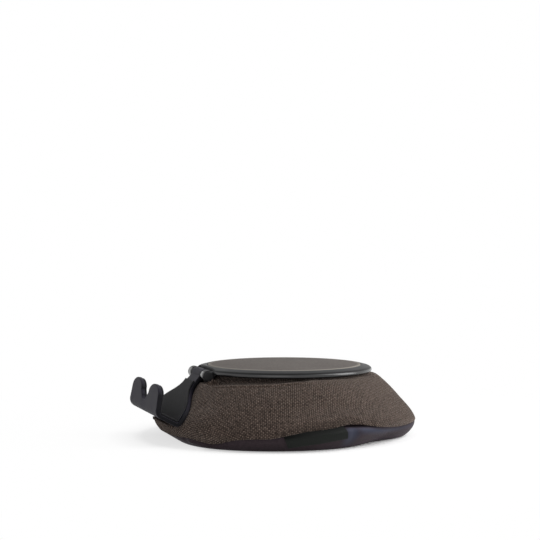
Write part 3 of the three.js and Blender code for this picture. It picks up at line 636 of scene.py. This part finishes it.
THREAD_SWAY, SHADED_HEM_RUN, SHADED_HEM_REACH, HEM_PAINTED_SHADE = 0.0005, 0.03, 0.006, (38, 31, 26)
canvas, shader, link, node = new_finish("brown_open_weave", 0.95, 0.2)
sway = vector_calc(node, "MULTIPLY", speckle(node, 260.0, 2.0, "Color"), (THREAD_SWAY, THREAD_SWAY, 0))
threads = vector_calc(node, "ADD", own_uv(node, "cloth"), sway)
turns = vector_calc(node, "MULTIPLY", threads, (math.pi / THREAD_PITCH,) * 3)
warp, weft = (calc(node, "COSINE", axis_of(node, turns, letter)) for letter in "XY")
over = calc(node, "MULTIPLY", warp, weft)
thread_tone = shades(node, ranged(node, over, -1.0, 1.0),
                     (0.0, colour(82, 70, 63)), (0.36, colour(72, 61, 55)), (0.5, colour(45, 37, 32)),
                     (0.64, colour(82, 70, 64)), (1.0, colour(116, 102, 93)))
yarn, patch = speckle(node, 750.0, 2.0), speckle(node, 45.0, 3.0)
yarn_tone = shades(node, yarn, (0.3, (0.45, 0.43, 0.41, 1)), (0.7, (1.55, 1.55, 1.55, 1)))
patch_tone = shades(node, patch, (0.3, (0.9, 0.89, 0.88, 1)), (0.7, (1.08, 1.07, 1.06, 1)))
toned = blended(node, 1.0, blended(node, 1.0, thread_tone, yarn_tone, "MULTIPLY"), patch_tone, "MULTIPLY")
# Shade painted darker into the colour along the lower edge above the label, where the cloth curves under.
off_shaded_hem = vector_calc(node, "MULTIPLY", own_uv(node, "edge"), (1 / SHADED_HEM_RUN, 1 / SHADED_HEM_REACH, 0))
hem_shade_share = ranged(node, vector_calc(node, "LENGTH", off_shaded_hem), 1.0, 0.3, 0.0, 0.45)
link(blended(node, hem_shade_share, toned, colour(*HEM_PAINTED_SHADE)), shader.inputs["Base Color"])
woven = relief(node, calc(node, "ABSOLUTE", over), 0.0005, 0.9)
link(relief(node, yarn, 0.0002, 0.6, woven), shader.inputs["Normal"])
sheen(shader, 0.36, 0.2, (235, 220, 210))
give(bag_upper, canvas)
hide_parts("bag_cover_upper")
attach(bag_upper, "base")

# Side label: a bare black woven tape, folded in half with its raw ends sewn into the bag's seam.
# It climbs with the seam and hangs over the lower cover, lower at its rear end, with slightly curled corners.
# The upper cover's shadow on it is painted darker into its colour where the cover overhangs it.
LABEL_L, LABEL_H, LABEL_T, LABEL_GAP, LABEL_ANGLE = 33.3, 5.7, 1.0, 0.3, math.radians(-4.9)
LABEL_COLUMNS, LABEL_ROWS, LABEL_SEWN, LABEL_TUCK, LABEL_FOLLOW = 49, 13, 2.2, 2.3, 0.7
LABEL_LEAN, LABEL_HANG, LABEL_HANG_MORE, LABEL_CURL = 1.4, 0.9, 0.5, 0.35
label_half, tape_half = LABEL_L / 2, LABEL_T / 2
label_slant = math.atan(SEAM_LIFT / (BELLY_R * math.radians(SEAM_RUN)))
label_z = SEAM_Z + float(seam_lift(np.array(LABEL_ANGLE), False)) - LABEL_GAP - LABEL_H / 2
along_label = np.linspace(-label_half, label_half, LABEL_COLUMNS)
front = [(tape_half, down) for down in np.linspace(-LABEL_SEWN, LABEL_H - tape_half, LABEL_ROWS)]
fold = [(tape_half * math.cos(t), LABEL_H - tape_half + tape_half * math.sin(t))
        for t in np.linspace(0, math.pi, 7)[1:-1]]
back = [(-out, down) for out, down in reversed(front)]
label_section = np.array(front + fold + back)
label_rows = len(label_section)
label_at = np.zeros((label_rows, LABEL_COLUMNS, 3))
curl = LABEL_CURL * np.abs(along_label / label_half) ** 6
hang = LABEL_HANG + LABEL_HANG_MORE * along_label / label_half
for i, (out, down) in enumerate(label_section):
    lower = max(0, down / LABEL_H)
    up = LABEL_H / 2 - down - hang * lower
    run = along_label * math.cos(label_slant) - up * math.sin(label_slant) + LABEL_LEAN * lower
    z = label_z + along_label * math.sin(label_slant) + up * math.cos(label_slant)
    angle = LABEL_ANGLE + run / BELLY_R
    below = np.maximum(0, 1 - (z - seam_lift(angle, False)) / BELLY_Z)
    foot = bumps(angle, *FOOT_SPREAD)
    spread = 1 + np.maximum(foot, LABEL_FOLLOW * foot) / FOOT_R * below
    r = skin_radius(z) * spread + LABEL_GAP + tape_half + out
    r = r + curl * smooth_step(down, 0, LABEL_H) - LABEL_TUCK * (1 - smooth_step(down, 0.2, 2.0))
    label_at[i] = np.stack([r * np.cos(angle), r * np.sin(angle), z], -1)
label_faces = grid_faces(label_rows, LABEL_COLUMNS, wraps=False)
label_faces.append([i * LABEL_COLUMNS for i in reversed(range(label_rows))])
label_faces.append([i * LABEL_COLUMNS + LABEL_COLUMNS - 1 for i in range(label_rows)])
label_faces.append(list(range(LABEL_COLUMNS)) + foot_face(label_rows, LABEL_COLUMNS))
label = new_piece("label_tape", label_at.reshape(-1, 3), label_faces)


def face_outwards(piece):
    """Turns a closed piece's faces outwards."""
    shape = bmesh.new()
    shape.from_mesh(piece.data)
    bmesh.ops.recalc_face_normals(shape, faces=shape.faces)
    shape.to_mesh(piece.data)
    shape.free()


face_outwards(label)
layer = label.data.uv_layers.new(name="tape")
for loop in label.data.loops:
    row, column = divmod(loop.vertex_index, LABEL_COLUMNS)
    layer.data[loop.index].uv = (along_label[column] * MM, label_section[row][1] * MM)
smooth(label, 50)
TAPE_DARK, TAPE_LIGHT, TAPE_PAINTED_SHADOW = (24, 26, 24), (32, 35, 32), (6, 7, 6)
PAINTED_SHADOW_END, PAINTED_SHADOW_FULL = 0.0022, 0.0008
tape, shader, link, node = new_finish("black_woven_tape", 0.75, 0.15)
strip = own_uv(node, "tape")
weave = calc(node, "MULTIPLY", ribbing(node, strip, "X", 320.0, 0.3), ribbing(node, strip, "Y", 480.0, 0.3))
tape_tone = shades(node, weave, (0.1, colour(*TAPE_DARK)), (0.8, colour(*TAPE_LIGHT)))
# The overhanging cover's shadow, painted darker into the tape's colour near the seam.
painted_shadow = ranged(node, axis_of(node, strip, "Y"), PAINTED_SHADOW_END, PAINTED_SHADOW_FULL, 0.0, 0.9)
link(blended(node, painted_shadow, tape_tone, colour(*TAPE_PAINTED_SHADOW)), shader.inputs["Base Color"])
link(relief(node, weave, 0.00006, 0.6), shader.inputs["Normal"])
give(label, tape)
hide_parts("side_label")
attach(label, "base")


# Clamp ring and its six screws: hidden inside the bag, they squeeze its top against the plate.
# The ring is plain moulded plastic and the screws are zinc-plated steel.
def grained_finish(name, roughness, specular, dark, light, scale, detail, depth=None, strength=0.5):
    """A plain finish of two close tones in a fine grain, with that grain as its relief."""
    material, shader, link, node = new_finish(name, roughness, specular)
    grain = speckle(node, scale, detail)
    link(two_tones(node, grain, dark, light), shader.inputs["Base Color"])
    if depth:
        link(relief(node, grain, depth, strength), shader.inputs["Normal"])
    return material


ring_plastic = grained_finish(
    "plain_moulded_plastic", 0.6, 0.5, (40, 40, 42), (54, 54, 57), 400.0, 3.0, 0.0001)
give(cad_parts["retaining_ring"], ring_plastic)

SCREWS, ZINC_TONES, BRUSHED = 6, ((176, 178, 182), (205, 207, 210)), (60, 900, 900)
zinc, shader, link, node = new_finish("zinc_plated_steel", 0.3)
shader.inputs["Metallic"].default_value = 1
brushed = node("ShaderNodeMapping", {"Vector": own_place(node), "Scale": BRUSHED}).outputs["Vector"]
grain = node("ShaderNodeTexNoise", {"Vector": brushed, "Scale": 1.0, "Detail": 4.0}).outputs["Fac"]
link(two_tones(node, grain, *ZINC_TONES), shader.inputs["Base Color"])
link(ranged(node, grain, 0.0, 1.0, 0.2, 0.42), shader.inputs["Roughness"])
for number in range(SCREWS):
    give(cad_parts[f"clamp_screw_{number + 1}"], zinc)

# Top plate: one injection-moulded disc of charcoal plastic with a matte bevel and a smoother upright edge.
# Its neck goes through the bag's top, and two lugs at the front edge carry the cradle's hinge.
RIM_R, PLATE_Z, FLOOR_Z, RIM_TOP_Z = 48.7, 35.65, 37.25, 39.4
PAD_WALL_R, RIM_LIP, EDGE_Z, EDGE_H, RIM_BEVEL = 42.85, 0.8, 36.15, 1.3, 1.0
NECK_R, NECK_IN_R, NECK_Z = 29.5, 21.0, 31.05
LUG_INNER, LUG_OUTER, LUG_TOP, BORE_R = 10.3, 15.3, 0.9, 1.75
NOTCH_HALF, NOTCH_BACK = 17.0, -44.1
HOLE_R, HOLE_RING_R, HOLE_COVER, HOLE_STEPS = 1.55, 25.25, 0.25, 24
PLATE_STEPS, CUT_OVER, BORE_OVER, EASED_EDGE = 192, 9, 1, 0.25


def softened(corners, steps=4):
    """A profile of (radius, height, rounding) corners with its corners rounded."""
    points = []
    for i, (r, z, rounding) in enumerate(corners):
        here = np.array((r, z), float)
        if rounding == 0 or i in (0, len(corners) - 1):
            points.append(here)
            continue
        before, after = (np.array(corners[k][:2], float) for k in (i - 1, i + 1))
        start = here + (before - here) * min(0.49, rounding / np.linalg.norm(before - here))
        end = here + (after - here) * min(0.49, rounding / np.linalg.norm(after - here))
        points.append(start)
        points += curve_rows([start, here, end], steps)
    return np.array(points)


def turned(name, corners, steps):
    """A piece turned about the upright axis from a profile that starts and ends on it."""
    shape = bmesh.new()
    first = [shape.verts.new((r * MM, 0, z * MM)) for r, z in softened(corners)]
    edges = [shape.edges.new(pair) for pair in zip(first, first[1:])]
    bmesh.ops.spin(shape, geom=first + edges, cent=(0, 0, 0), axis=(0, 0, 1), angle=2 * math.pi,
                   steps=steps, use_merge=True)
    bmesh.ops.remove_doubles(shape, verts=shape.verts, dist=1e-7)
    bmesh.ops.dissolve_degenerate(shape, edges=shape.edges, dist=1e-8)
    bmesh.ops.recalc_face_normals(shape, faces=shape.faces)
    mesh = bpy.data.meshes.new(name)
    shape.to_mesh(mesh)
    shape.free()
    return placed(name, mesh)


def prism(name, outline, low, high):
    """A closed block with an outline in (y, z), between two places along X."""
    count = len(outline)
    points = [(x, y, z) for x in (low, high) for y, z in outline]
    faces = [list(range(count)), [count + i for i in reversed(range(count))]]
    faces += [(i, count + i, count + (i + 1) % count, (i + 1) % count) for i in range(count)]
    made = new_piece(name, points, faces)
    face_outwards(made)
    return made


def rod(radius, low, high, steps=48):
    """A round rod along X on the hinge axis."""
    turns = np.arange(steps) * 2 * math.pi / steps
    outline = [(HINGE_Y + radius * math.cos(t), HINGE_Z + radius * math.sin(t)) for t in turns]
    return prism("rod", outline, low, high)


def cut(piece, tool, operation):
    """Joins a tool to a piece, or takes it away, and removes the tool."""
    boolean = piece.modifiers.new("cut", "BOOLEAN")
    boolean.operation = operation
    boolean.solver = "EXACT"
    boolean.object = tool
    finished(piece)
    bpy.data.objects.remove(tool)


plate = turned("plate", [
    (0, PLATE_Z, 0), (NECK_IN_R, PLATE_Z, 0.4), (NECK_IN_R, NECK_Z, 0.4), (NECK_R, NECK_Z, 0.4),
    (NECK_R, PLATE_Z, 0.4), (RIM_R - RIM_BEVEL, PLATE_Z, 0.5), (RIM_R, EDGE_Z, 0.45),
    (RIM_R, EDGE_Z + EDGE_H, 0.6), (RIM_R - RIM_BEVEL, EDGE_Z + EDGE_H + RIM_BEVEL, 0.7),
    (PAD_WALL_R + RIM_LIP, RIM_TOP_Z, 0.5), (PAD_WALL_R, RIM_TOP_Z, 0.25),
    (PAD_WALL_R, FLOOR_Z, 0.3), (0, FLOOR_Z, 0)], PLATE_STEPS)
notch_front, notch_low, notch_high = -RIM_R - CUT_OVER, PLATE_Z - CUT_OVER, RIM_TOP_Z + CUT_OVER
notch_tool = prism("notch", [
    (notch_front, notch_low), (NOTCH_BACK, notch_low), (NOTCH_BACK, notch_high), (notch_front, notch_high)],
    -NOTCH_HALF, NOTCH_HALF)
cut(plate, notch_tool, "DIFFERENCE")
for inner, outer in ((LUG_INNER, LUG_OUTER), (-LUG_OUTER, -LUG_INNER)):
    lug = prism("lug", [
        (HINGE_Y, HINGE_Z - KNUCKLE_R), (-PAD_R, PLATE_Z), (-PAD_R, FLOOR_Z),
        (HINGE_Y, HINGE_Z + KNUCKLE_R * LUG_TOP)], inner, outer)
    cut(lug, rod(KNUCKLE_R, inner, outer), "UNION")
    cut(lug, rod(BORE_R, inner - BORE_OVER, outer + BORE_OVER), "DIFFERENCE")
    cut(plate, lug, "UNION")
hole_low, hole_high = NECK_Z - BORE_OVER, FLOOR_Z - HOLE_COVER
for number in range(SCREWS):
    turn = (number + 0.5) * math.pi / (SCREWS / 2)
    hole = turned("hole", [
        (0, hole_low, 0), (HOLE_R, hole_low, 0), (HOLE_R, hole_high, 0), (0, hole_high, 0)], HOLE_STEPS)
    for v in hole.data.vertices:
        v.co.x += HOLE_RING_R * MM * math.cos(turn)
        v.co.y += HOLE_RING_R * MM * math.sin(turn)
    cut(plate, hole, "DIFFERENCE")
eased = plate.modifiers.new("eased_edges", "BEVEL")
eased.width = EASED_EDGE * MM
eased.segments = 2
eased.limit_method = "ANGLE"
eased.angle_limit = math.radians(50)
finished(plate)
smooth(plate, 40)

CHARCOAL_TONES = ((27, 27, 28), (33, 33, 34))
MATTE_FROM, SMOOTH_FROM = (EDGE_Z + 1.7) * MM, (EDGE_Z + 1.2) * MM
charcoal, shader, link, node = new_finish("satin_charcoal_plastic", 0.42, 0.25)
grain, haze = speckle(node, 1600.0, 2.0), speckle(node, 70.0, 4.0)
link(two_tones(node, haze, *CHARCOAL_TONES), shader.inputs["Base Color"])
edge = ranged(node, axis_of(node, own_place(node), "Z"), MATTE_FROM, SMOOTH_FROM)
link(ranged(node, edge, 0.0, 1.0, 0.08, 0.6), shader.inputs["Specular IOR Level"])
rough = ranged(node, haze, 0.0, 1.0, 0.34, 0.5)
link(calc(node, "MULTIPLY_ADD", edge, -0.22, rough), shader.inputs["Roughness"])
link(relief(node, grain, 0.00004, 0.5), shader.inputs["Normal"])
give(plate, charcoal)
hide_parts("top_plate")
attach(plate, "base")

# Glue layer: a thin disc of double-sided tape that holds the pad in the plate's recess.
# It stays hidden under the pad.
glue = grained_finish("double_sided_tape", 0.6, 0.5, (206, 200, 186), (226, 221, 209), 300.0, 5.0)
give(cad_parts["pad_adhesive"], glue)

# Grip pad: a matte warm-grey rubber disc, die-cut and glued into the plate, just proud of the rim.
# Its top edge is softly rounded, and a highlight is painted lighter into its colour along it.
PAD_Z, PAD_TOP_Z, HIGHLIGHT_START_R, HIGHLIGHT_FULL_R = 37.75, 39.6, PAD_R - 2.4, PAD_R - 0.5
PAD_TONES, PAD_PAINTED_HIGHLIGHT = ((99, 94, 91), (116, 111, 107)), (144, 139, 132)
pad = turned("pad", [
    (0, PAD_Z, 0), (PAD_R, PAD_Z, 0.2), (PAD_R, PAD_TOP_Z, 0.7), (0, PAD_TOP_Z, 0)], PLATE_STEPS)
smooth(pad, 40)
rubber, shader, link, node = new_finish("matte_warm_grey_rubber", 0.85, 0.05)
grain, haze = speckle(node, 1100.0, 3.0), speckle(node, 60.0, 4.0)
wide = shades(node, haze, (0.3, (0.94, 0.94, 0.94, 1)), (0.7, (1.05, 1.05, 1.05, 1)))
toned = blended(node, 1.0, two_tones(node, grain, *PAD_TONES), wide, "MULTIPLY")
flat = vector_calc(node, "MULTIPLY", own_place(node), (1, 1, 0))
# A highlight painted lighter into the colour along the pad's top edge.
edge = ranged(node, vector_calc(node, "LENGTH", flat), HIGHLIGHT_START_R * MM, HIGHLIGHT_FULL_R * MM)
link(blended(node, edge, toned, colour(*PAD_PAINTED_HIGHLIGHT)), shader.inputs["Base Color"])
link(relief(node, grain, 0.00008, 0.6), shader.inputs["Normal"])
give(pad, rubber)
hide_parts("grip_pad")
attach(pad, "base")

# Hinge: a steel pin through both lugs, two steel friction washers, and a pressed-on cap at each end.
# The caps are moulded in the plate's plastic.
give(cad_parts["hinge_pin"], zinc)
cap_plastic = grained_finish("satin_charcoal_caps", 0.5, 0.15, *CHARCOAL_TONES, 500.0, 3.0, 0.00004)
for side in ("left", "right"):
    give(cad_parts[f"friction_washer_{side}"], zinc)
    give(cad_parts[f"pin_cap_{side}"], cap_plastic)

# Cradle: a J of even thickness, moulded in one piece, with a charcoal soft-touch coat and black side walls.
# Two rounded prongs with a notch stand up in front, and the arm runs up to a knuckle on the hinge pin.
SHELL_T, SHELL_SOFT = 2.2, 0.55
PRONG_TILT, PRONG_Y, PRONG_Z, PRONG_TOP_Z = math.radians(80), -80.6, 20.1, 32.4
HOOK_BEND, BEND_STEPS, BEND_EVERY = 4.6, 14, 2.5
TIP_HALF, TIP_SOFT, TIP_ROUND = 31.5, 5.5, 0.55
NOTCH_MOUTH, NOTCH_FOOT, NOTCH_Z, NOTCH_SOFT = 8.6, 5.4, 22.4, 2.4
HEEL_HALF, HEEL_EASE, ARM_SWEEP = 31.0, 6, 0.6


def hook_path(depth):
    """The J's line at one depth from its outside: its (y, z) points, and the length up to each of them."""
    ways = [np.array((math.cos(a), math.sin(a))) for a in (PRONG_TILT + math.pi, -SOLE_FALL, ARM_TILT)]
    starts = [np.array(p) for p in ((PRONG_Y, PRONG_Z), (SOLE_Y, SOLE_Z), (arm_back_y, HINGE_Z))]
    inward = [np.array((-w[1], w[0])) for w in ways]
    starts = [p + n * depth for p, n in zip(starts, inward)]
    points = [starts[0] + ways[0] * ((PRONG_TOP_Z - starts[0][1]) / ways[0][1])]
    for i, bend in ((0, HOOK_BEND), (1, HEEL_BEND)):
        here, ahead = ways[i], ways[i + 1]
        gap = starts[i + 1] - starts[i]
        reach = (gap[0] * ahead[1] - gap[1] * ahead[0]) / (here[0] * ahead[1] - here[1] * ahead[0])
        corner = starts[i] + here * reach
        swing = math.acos(np.dot(here, ahead))
        radius = bend - depth
        centre = corner - here * (radius * math.tan(swing / 2)) + inward[i] * radius
        first = math.atan2(*(-inward[i])[::-1])
        for t in np.linspace(0, swing, BEND_STEPS + 1):
            points.append(centre + radius * np.array((math.cos(first + t), math.sin(first + t))))
    points = np.array(points + [starts[2]])
    lengths = np.concatenate([[0], np.cumsum(np.linalg.norm(np.diff(points, axis=0), axis=1))])
    return points, lengths


def hook_outline(lengths, inset, arm_end):
    """The cradle's outline laid flat: (x, length along the J) points, set in from its edges."""
    down = lambda z: (PRONG_TOP_Z - z) / math.sin(PRONG_TILT)
    tip, tip_foot, tip_mid = inset, down(PRONG_TOP_Z - TIP_SOFT), (TIP_HALF + NOTCH_MOUTH) / 2
    side, wide, low, slim = (half - inset for half in (TIP_HALF, HOOK_HALF, HEEL_HALF, KNUCKLE_HALF))
    mouth, foot, notch = NOTCH_MOUTH + inset, NOTCH_FOOT + inset, down(NOTCH_Z) + inset
    bend = down(PRONG_Z)
    heel = (lengths[-2] + lengths[-2 - BEND_STEPS]) / 2
    neck = lengths[-1] - ARM_NECK
    sweep = heel + ARM_SWEEP * (neck - heel)
    tip_side, tip_way = tip_foot + TIP_ROUND * (tip - tip_foot), TIP_ROUND * (side - tip_mid)
    half = [np.array((0, notch))]
    half += curve_rows([(0, notch), (foot - NOTCH_SOFT / 2, notch), (foot, notch - NOTCH_SOFT)], 8)
    half += curve_rows([(foot, notch - NOTCH_SOFT), (mouth, tip_foot)], 4)
    half += curve_rows([(mouth, tip_foot), (mouth, tip_side), (tip_mid - tip_way, tip), (tip_mid, tip)], 14)
    half += curve_rows([(tip_mid, tip), (tip_mid + tip_way, tip), (side, tip_side), (side, tip_foot)], 14)
    half += curve_rows([(side, tip_foot), (wide, bend)], 6)
    half += curve_rows([(wide, bend), (wide, heel - HEEL_EASE), (low, heel)], 10)
    half += curve_rows([(low, heel), (low, sweep), (slim, sweep), (slim, neck)], 24)
    half += curve_rows([(slim, neck), (slim, arm_end(lengths[-1]))], 4)
    return half + [np.array((-x, t)) for x, t in reversed(half) if x > 0]


def flat_blank(name, outline, thickness, soft):
    """A flat plate with that outline and softly rounded edges, as a mesh."""
    flat = bpy.data.curves.new(name, "CURVE")
    flat.dimensions = "2D"
    flat.fill_mode = "BOTH"
    flat.offset = -soft * MM
    flat.bevel_depth = soft * MM
    flat.bevel_resolution = 3
    flat.extrude = (thickness / 2 - soft) * MM
    spline = flat.splines.new("POLY")
    spline.points.add(len(outline) - 1)
    for point, (x, t) in zip(spline.points, outline):
        point.co = (x * MM, t * MM, 0, 1)
    spline.use_cyclic_u = True
    made = placed(name + "_flat", flat)
    depsgraph = bpy.context.evaluated_depsgraph_get()
    mesh = bpy.data.meshes.new_from_object(made.evaluated_get(depsgraph))
    bpy.data.objects.remove(made)
    return mesh


def cradle_layer(name, near, far, inset, soft, arm_end):
    """One layer of the cradle between two depths: a flat plate with soft edges, bent along the J."""
    path, lengths = hook_path((near + far) / 2)
    mesh = flat_blank(name, hook_outline(lengths, inset, arm_end), far - near, soft)
    shape = bmesh.new()
    shape.from_mesh(mesh)
    bmesh.ops.remove_doubles(shape, verts=shape.verts, dist=1e-6)
    for t in np.concatenate([lengths[1:-1], np.arange(2, lengths[-1], BEND_EVERY)]):
        bmesh.ops.bisect_plane(shape, geom=shape.verts[:] + shape.edges[:] + shape.faces[:], dist=1e-7,
                               plane_co=(0, t * MM, 0), plane_no=(0, 1, 0))
    for vert in shape.verts:
        t, out = vert.co.y / MM, vert.co.z / MM
        i = int(np.clip(np.searchsorted(lengths, t) - 1, 0, len(lengths) - 2))
        share = (t - lengths[i]) / (lengths[i + 1] - lengths[i])
        way = path[i + 1] - path[i]
        at = path[i] + way * share
        if share < 0.01 and 0 < i:
            way = path[i + 1] - path[i - 1]
        if share > 0.99 and i + 2 < len(path):
            way = path[i + 2] - path[i]
        way = way / np.linalg.norm(way)
        at = at + np.array((-way[1], way[0])) * out
        vert.co = (vert.co.x, at[0] * MM, at[1] * MM)
    bmesh.ops.recalc_face_normals(shape, faces=shape.faces)
    shape.to_mesh(mesh)
    shape.free()
    mesh.name = name
    return placed(name, mesh)


def evenly_shaded(piece):
    """Smooth shading that leaves the large faces flat."""
    smooth(piece, 50)
    even = piece.modifiers.new("even_shading", "WEIGHTED_NORMAL")
    even.keep_sharp = True
    finished(piece)


cradle = cradle_layer("cradle_shell", 0, SHELL_T, 0, SHELL_SOFT, lambda end: end)
cut(cradle, rod(KNUCKLE_R, -KNUCKLE_HALF, KNUCKLE_HALF), "UNION")
cut(cradle, rod(BORE_R, -KNUCKLE_HALF - BORE_OVER, KNUCKLE_HALF + BORE_OVER), "DIFFERENCE")
evenly_shaded(cradle)

COAT_TONES, WALL_TONE, WALL_FROM, WALL_FULL = ((36, 34, 42), (42, 40, 49)), (22, 22, 25), 0.6, 0.9
soft_touch, shader, link, node = new_finish("soft_touch_charcoal", 0.55, 0.07)
grain, haze = speckle(node, 1500.0, 2.0), speckle(node, 80.0, 4.0)
sideways = calc(node, "ABSOLUTE", axis_of(node, node("ShaderNodeNewGeometry").outputs["Normal"], "X"))
# Faces that point along X are coloured darker.
darker_sideways = ranged(node, sideways, WALL_FROM, WALL_FULL)
link(blended(node, darker_sideways, two_tones(node, haze, *COAT_TONES), colour(*WALL_TONE)), shader.inputs["Base Color"])
link(ranged(node, haze, 0.0, 1.0, 0.48, 0.64), shader.inputs["Roughness"])
link(relief(node, grain, 0.00004, 0.5), shader.inputs["Normal"])
give(cradle, soft_touch)
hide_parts("cradle_arm")
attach(cradle, "cradle")

# Cradle liner: a thin black rubber layer glued inside the J, for grip and so that nothing gets scratched.
# It stops just short of the shell's edges, and shows as a dark line along the side.
LINER_NEAR, LINER_T, LINER_INSET, LINER_SOFT = 2.45, 0.8, 0.7, 0.25
liner = cradle_layer("cradle_lining", LINER_NEAR, LINER_NEAR + LINER_T, LINER_INSET, LINER_SOFT,
                     lambda end: end - KNUCKLE_R - ARM_NECK / 2)
evenly_shaded(liner)
black_rubber = grained_finish(
    "matte_black_rubber", 0.85, 0.3, (22, 22, 24), (34, 34, 36), 900.0, 3.0, 0.0001, 0.6)
give(liner, black_rubber)
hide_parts("cradle_liner")
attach(liner, "cradle")

# Floor: a plain white studio table that keeps the stand's soft shadow.
# It turns plain white away from the stand, so that no horizon shows.
FLOOR_HALF, FADE_END, FRONT_FROM, FRONT_FULL, FRONT_SHARE = 4000, 0.26, -0.045, -0.06, 0.68
# How white the floor glows at a distance from the stand's middle, in metres.
FLOOR_FADE = ((0.056, 0.0), (0.066, 0.28), (0.074, 0.58), (0.085, 0.83), (0.1, 0.96), (FADE_END, 1.0))
floor = new_piece("floor", [
    (x * FLOOR_HALF, y * FLOOR_HALF, 0) for x, y in ((-1, -1), (1, -1), (1, 1), (-1, 1))], [(0, 1, 2, 3)])


def seen_plainly(node):
    """One where the floor or room is seen, straight or in metal or glass, and none where it gives light."""
    seen = node("ShaderNodeLightPath").outputs
    direct = calc(node, "MAXIMUM", seen["Is Camera Ray"], seen["Is Glossy Ray"])
    return calc(node, "MAXIMUM", direct, seen["Is Transmission Ray"])


white, shader, link, node = new_finish("white_table", 0.9, 0.0)
shader.inputs["Base Color"].default_value = (0.93, 0.93, 0.93, 1)
where = own_place(node)
near = calc(node, "DIVIDE", vector_calc(node, "LENGTH", where), FADE_END)
fade = shades(node, near, *((at / FADE_END, (value, value, value, 1)) for at, value in FLOOR_FADE))
front = ranged(node, axis_of(node, where, "Y"), FRONT_FROM, FRONT_FULL, 0.0, FRONT_SHARE)
shown = seen_plainly(node)
share = calc(node, "MULTIPLY", calc(node, "MAXIMUM", fade, front), shown)
glow = node("ShaderNodeEmission", {"Color": (1, 1, 1, 1), "Strength": 1.0})
bright = node("ShaderNodeBsdfDiffuse", {"Color": (0.3, 0.3, 0.3, 1)})
brighter = node("ShaderNodeAddShader", {0: shader.outputs["BSDF"], 1: bright.outputs["BSDF"]})
surface = node("ShaderNodeMixShader", {0: shown, 1: shader.outputs["BSDF"], 2: brighter.outputs["Shader"]})
blend = node("ShaderNodeMixShader", {0: share, 1: surface.outputs["Shader"], 2: glow.outputs["Emission"]})
link(blend.outputs["Shader"], white.node_tree.nodes["Material Output"].inputs["Surface"])
floor.data.materials.append(white)

# Studio light: a bright room, two large soft lamps behind the stand on the right, and a weak one in front.
# The room is plain white where the camera sees it.
LAMP_AIM, ROOM_LIGHT = (0, 0, 0.02), 0.4
room = bpy.data.worlds.new("studio")
bpy.context.scene.world = room
room.use_nodes = True
node = node_maker(room.node_tree)
sky = room.node_tree.nodes["Background"]
sky.inputs["Color"].default_value = (1, 1, 1, 1)
room.node_tree.links.new(ranged(node, seen_plainly(node), 0.0, 1.0, ROOM_LIGHT, 1.0), sky.inputs["Strength"])


def soft_lamp(name, at, size, watts):
    """A square lamp that faces the stand."""
    light = bpy.data.lights.new(name, "AREA")
    light.shape = "SQUARE"
    light.size = size
    light.energy = watts
    lamp = placed(name, light)
    lamp.location = at
    lamp.rotation_euler = (Vector(LAMP_AIM) - Vector(at)).to_track_quat("-Z", "Y").to_euler()


soft_lamp("key_lamp", (0.3, 0.75, 0.75), 0.6, 7.0)
soft_lamp("right_lamp", (0.35, 1.0, 0.3), 0.6, 5.0)
soft_lamp("front_lamp", (0.9, -0.5, 0.45), 0.7, 1.4)

# Camera: at the photograph's place, a little above the table and looking at the stand's label side.
# It has a long lens and everything is in focus.
CAMERA_AT = Vector((0.763848, -0.249787, 0.109876))
CAMERA_TURN, CAMERA_TILT = math.radians(162.452), math.radians(-1.295)
lens = bpy.data.cameras.new("camera")
lens.sensor_width = 36
lens.lens = 96.2775
lens.clip_start = 0.01
camera = placed("camera", lens)
camera.location = CAMERA_AT
ahead = Vector((math.cos(CAMERA_TILT) * math.cos(CAMERA_TURN), math.cos(CAMERA_TILT) * math.sin(CAMERA_TURN),
                math.sin(CAMERA_TILT)))
camera.rotation_euler = ahead.to_track_quat("-Z", "Y").to_euler()
bpy.context.scene.camera = camera
bpy.context.scene.view_settings.view_transform = "Standard"
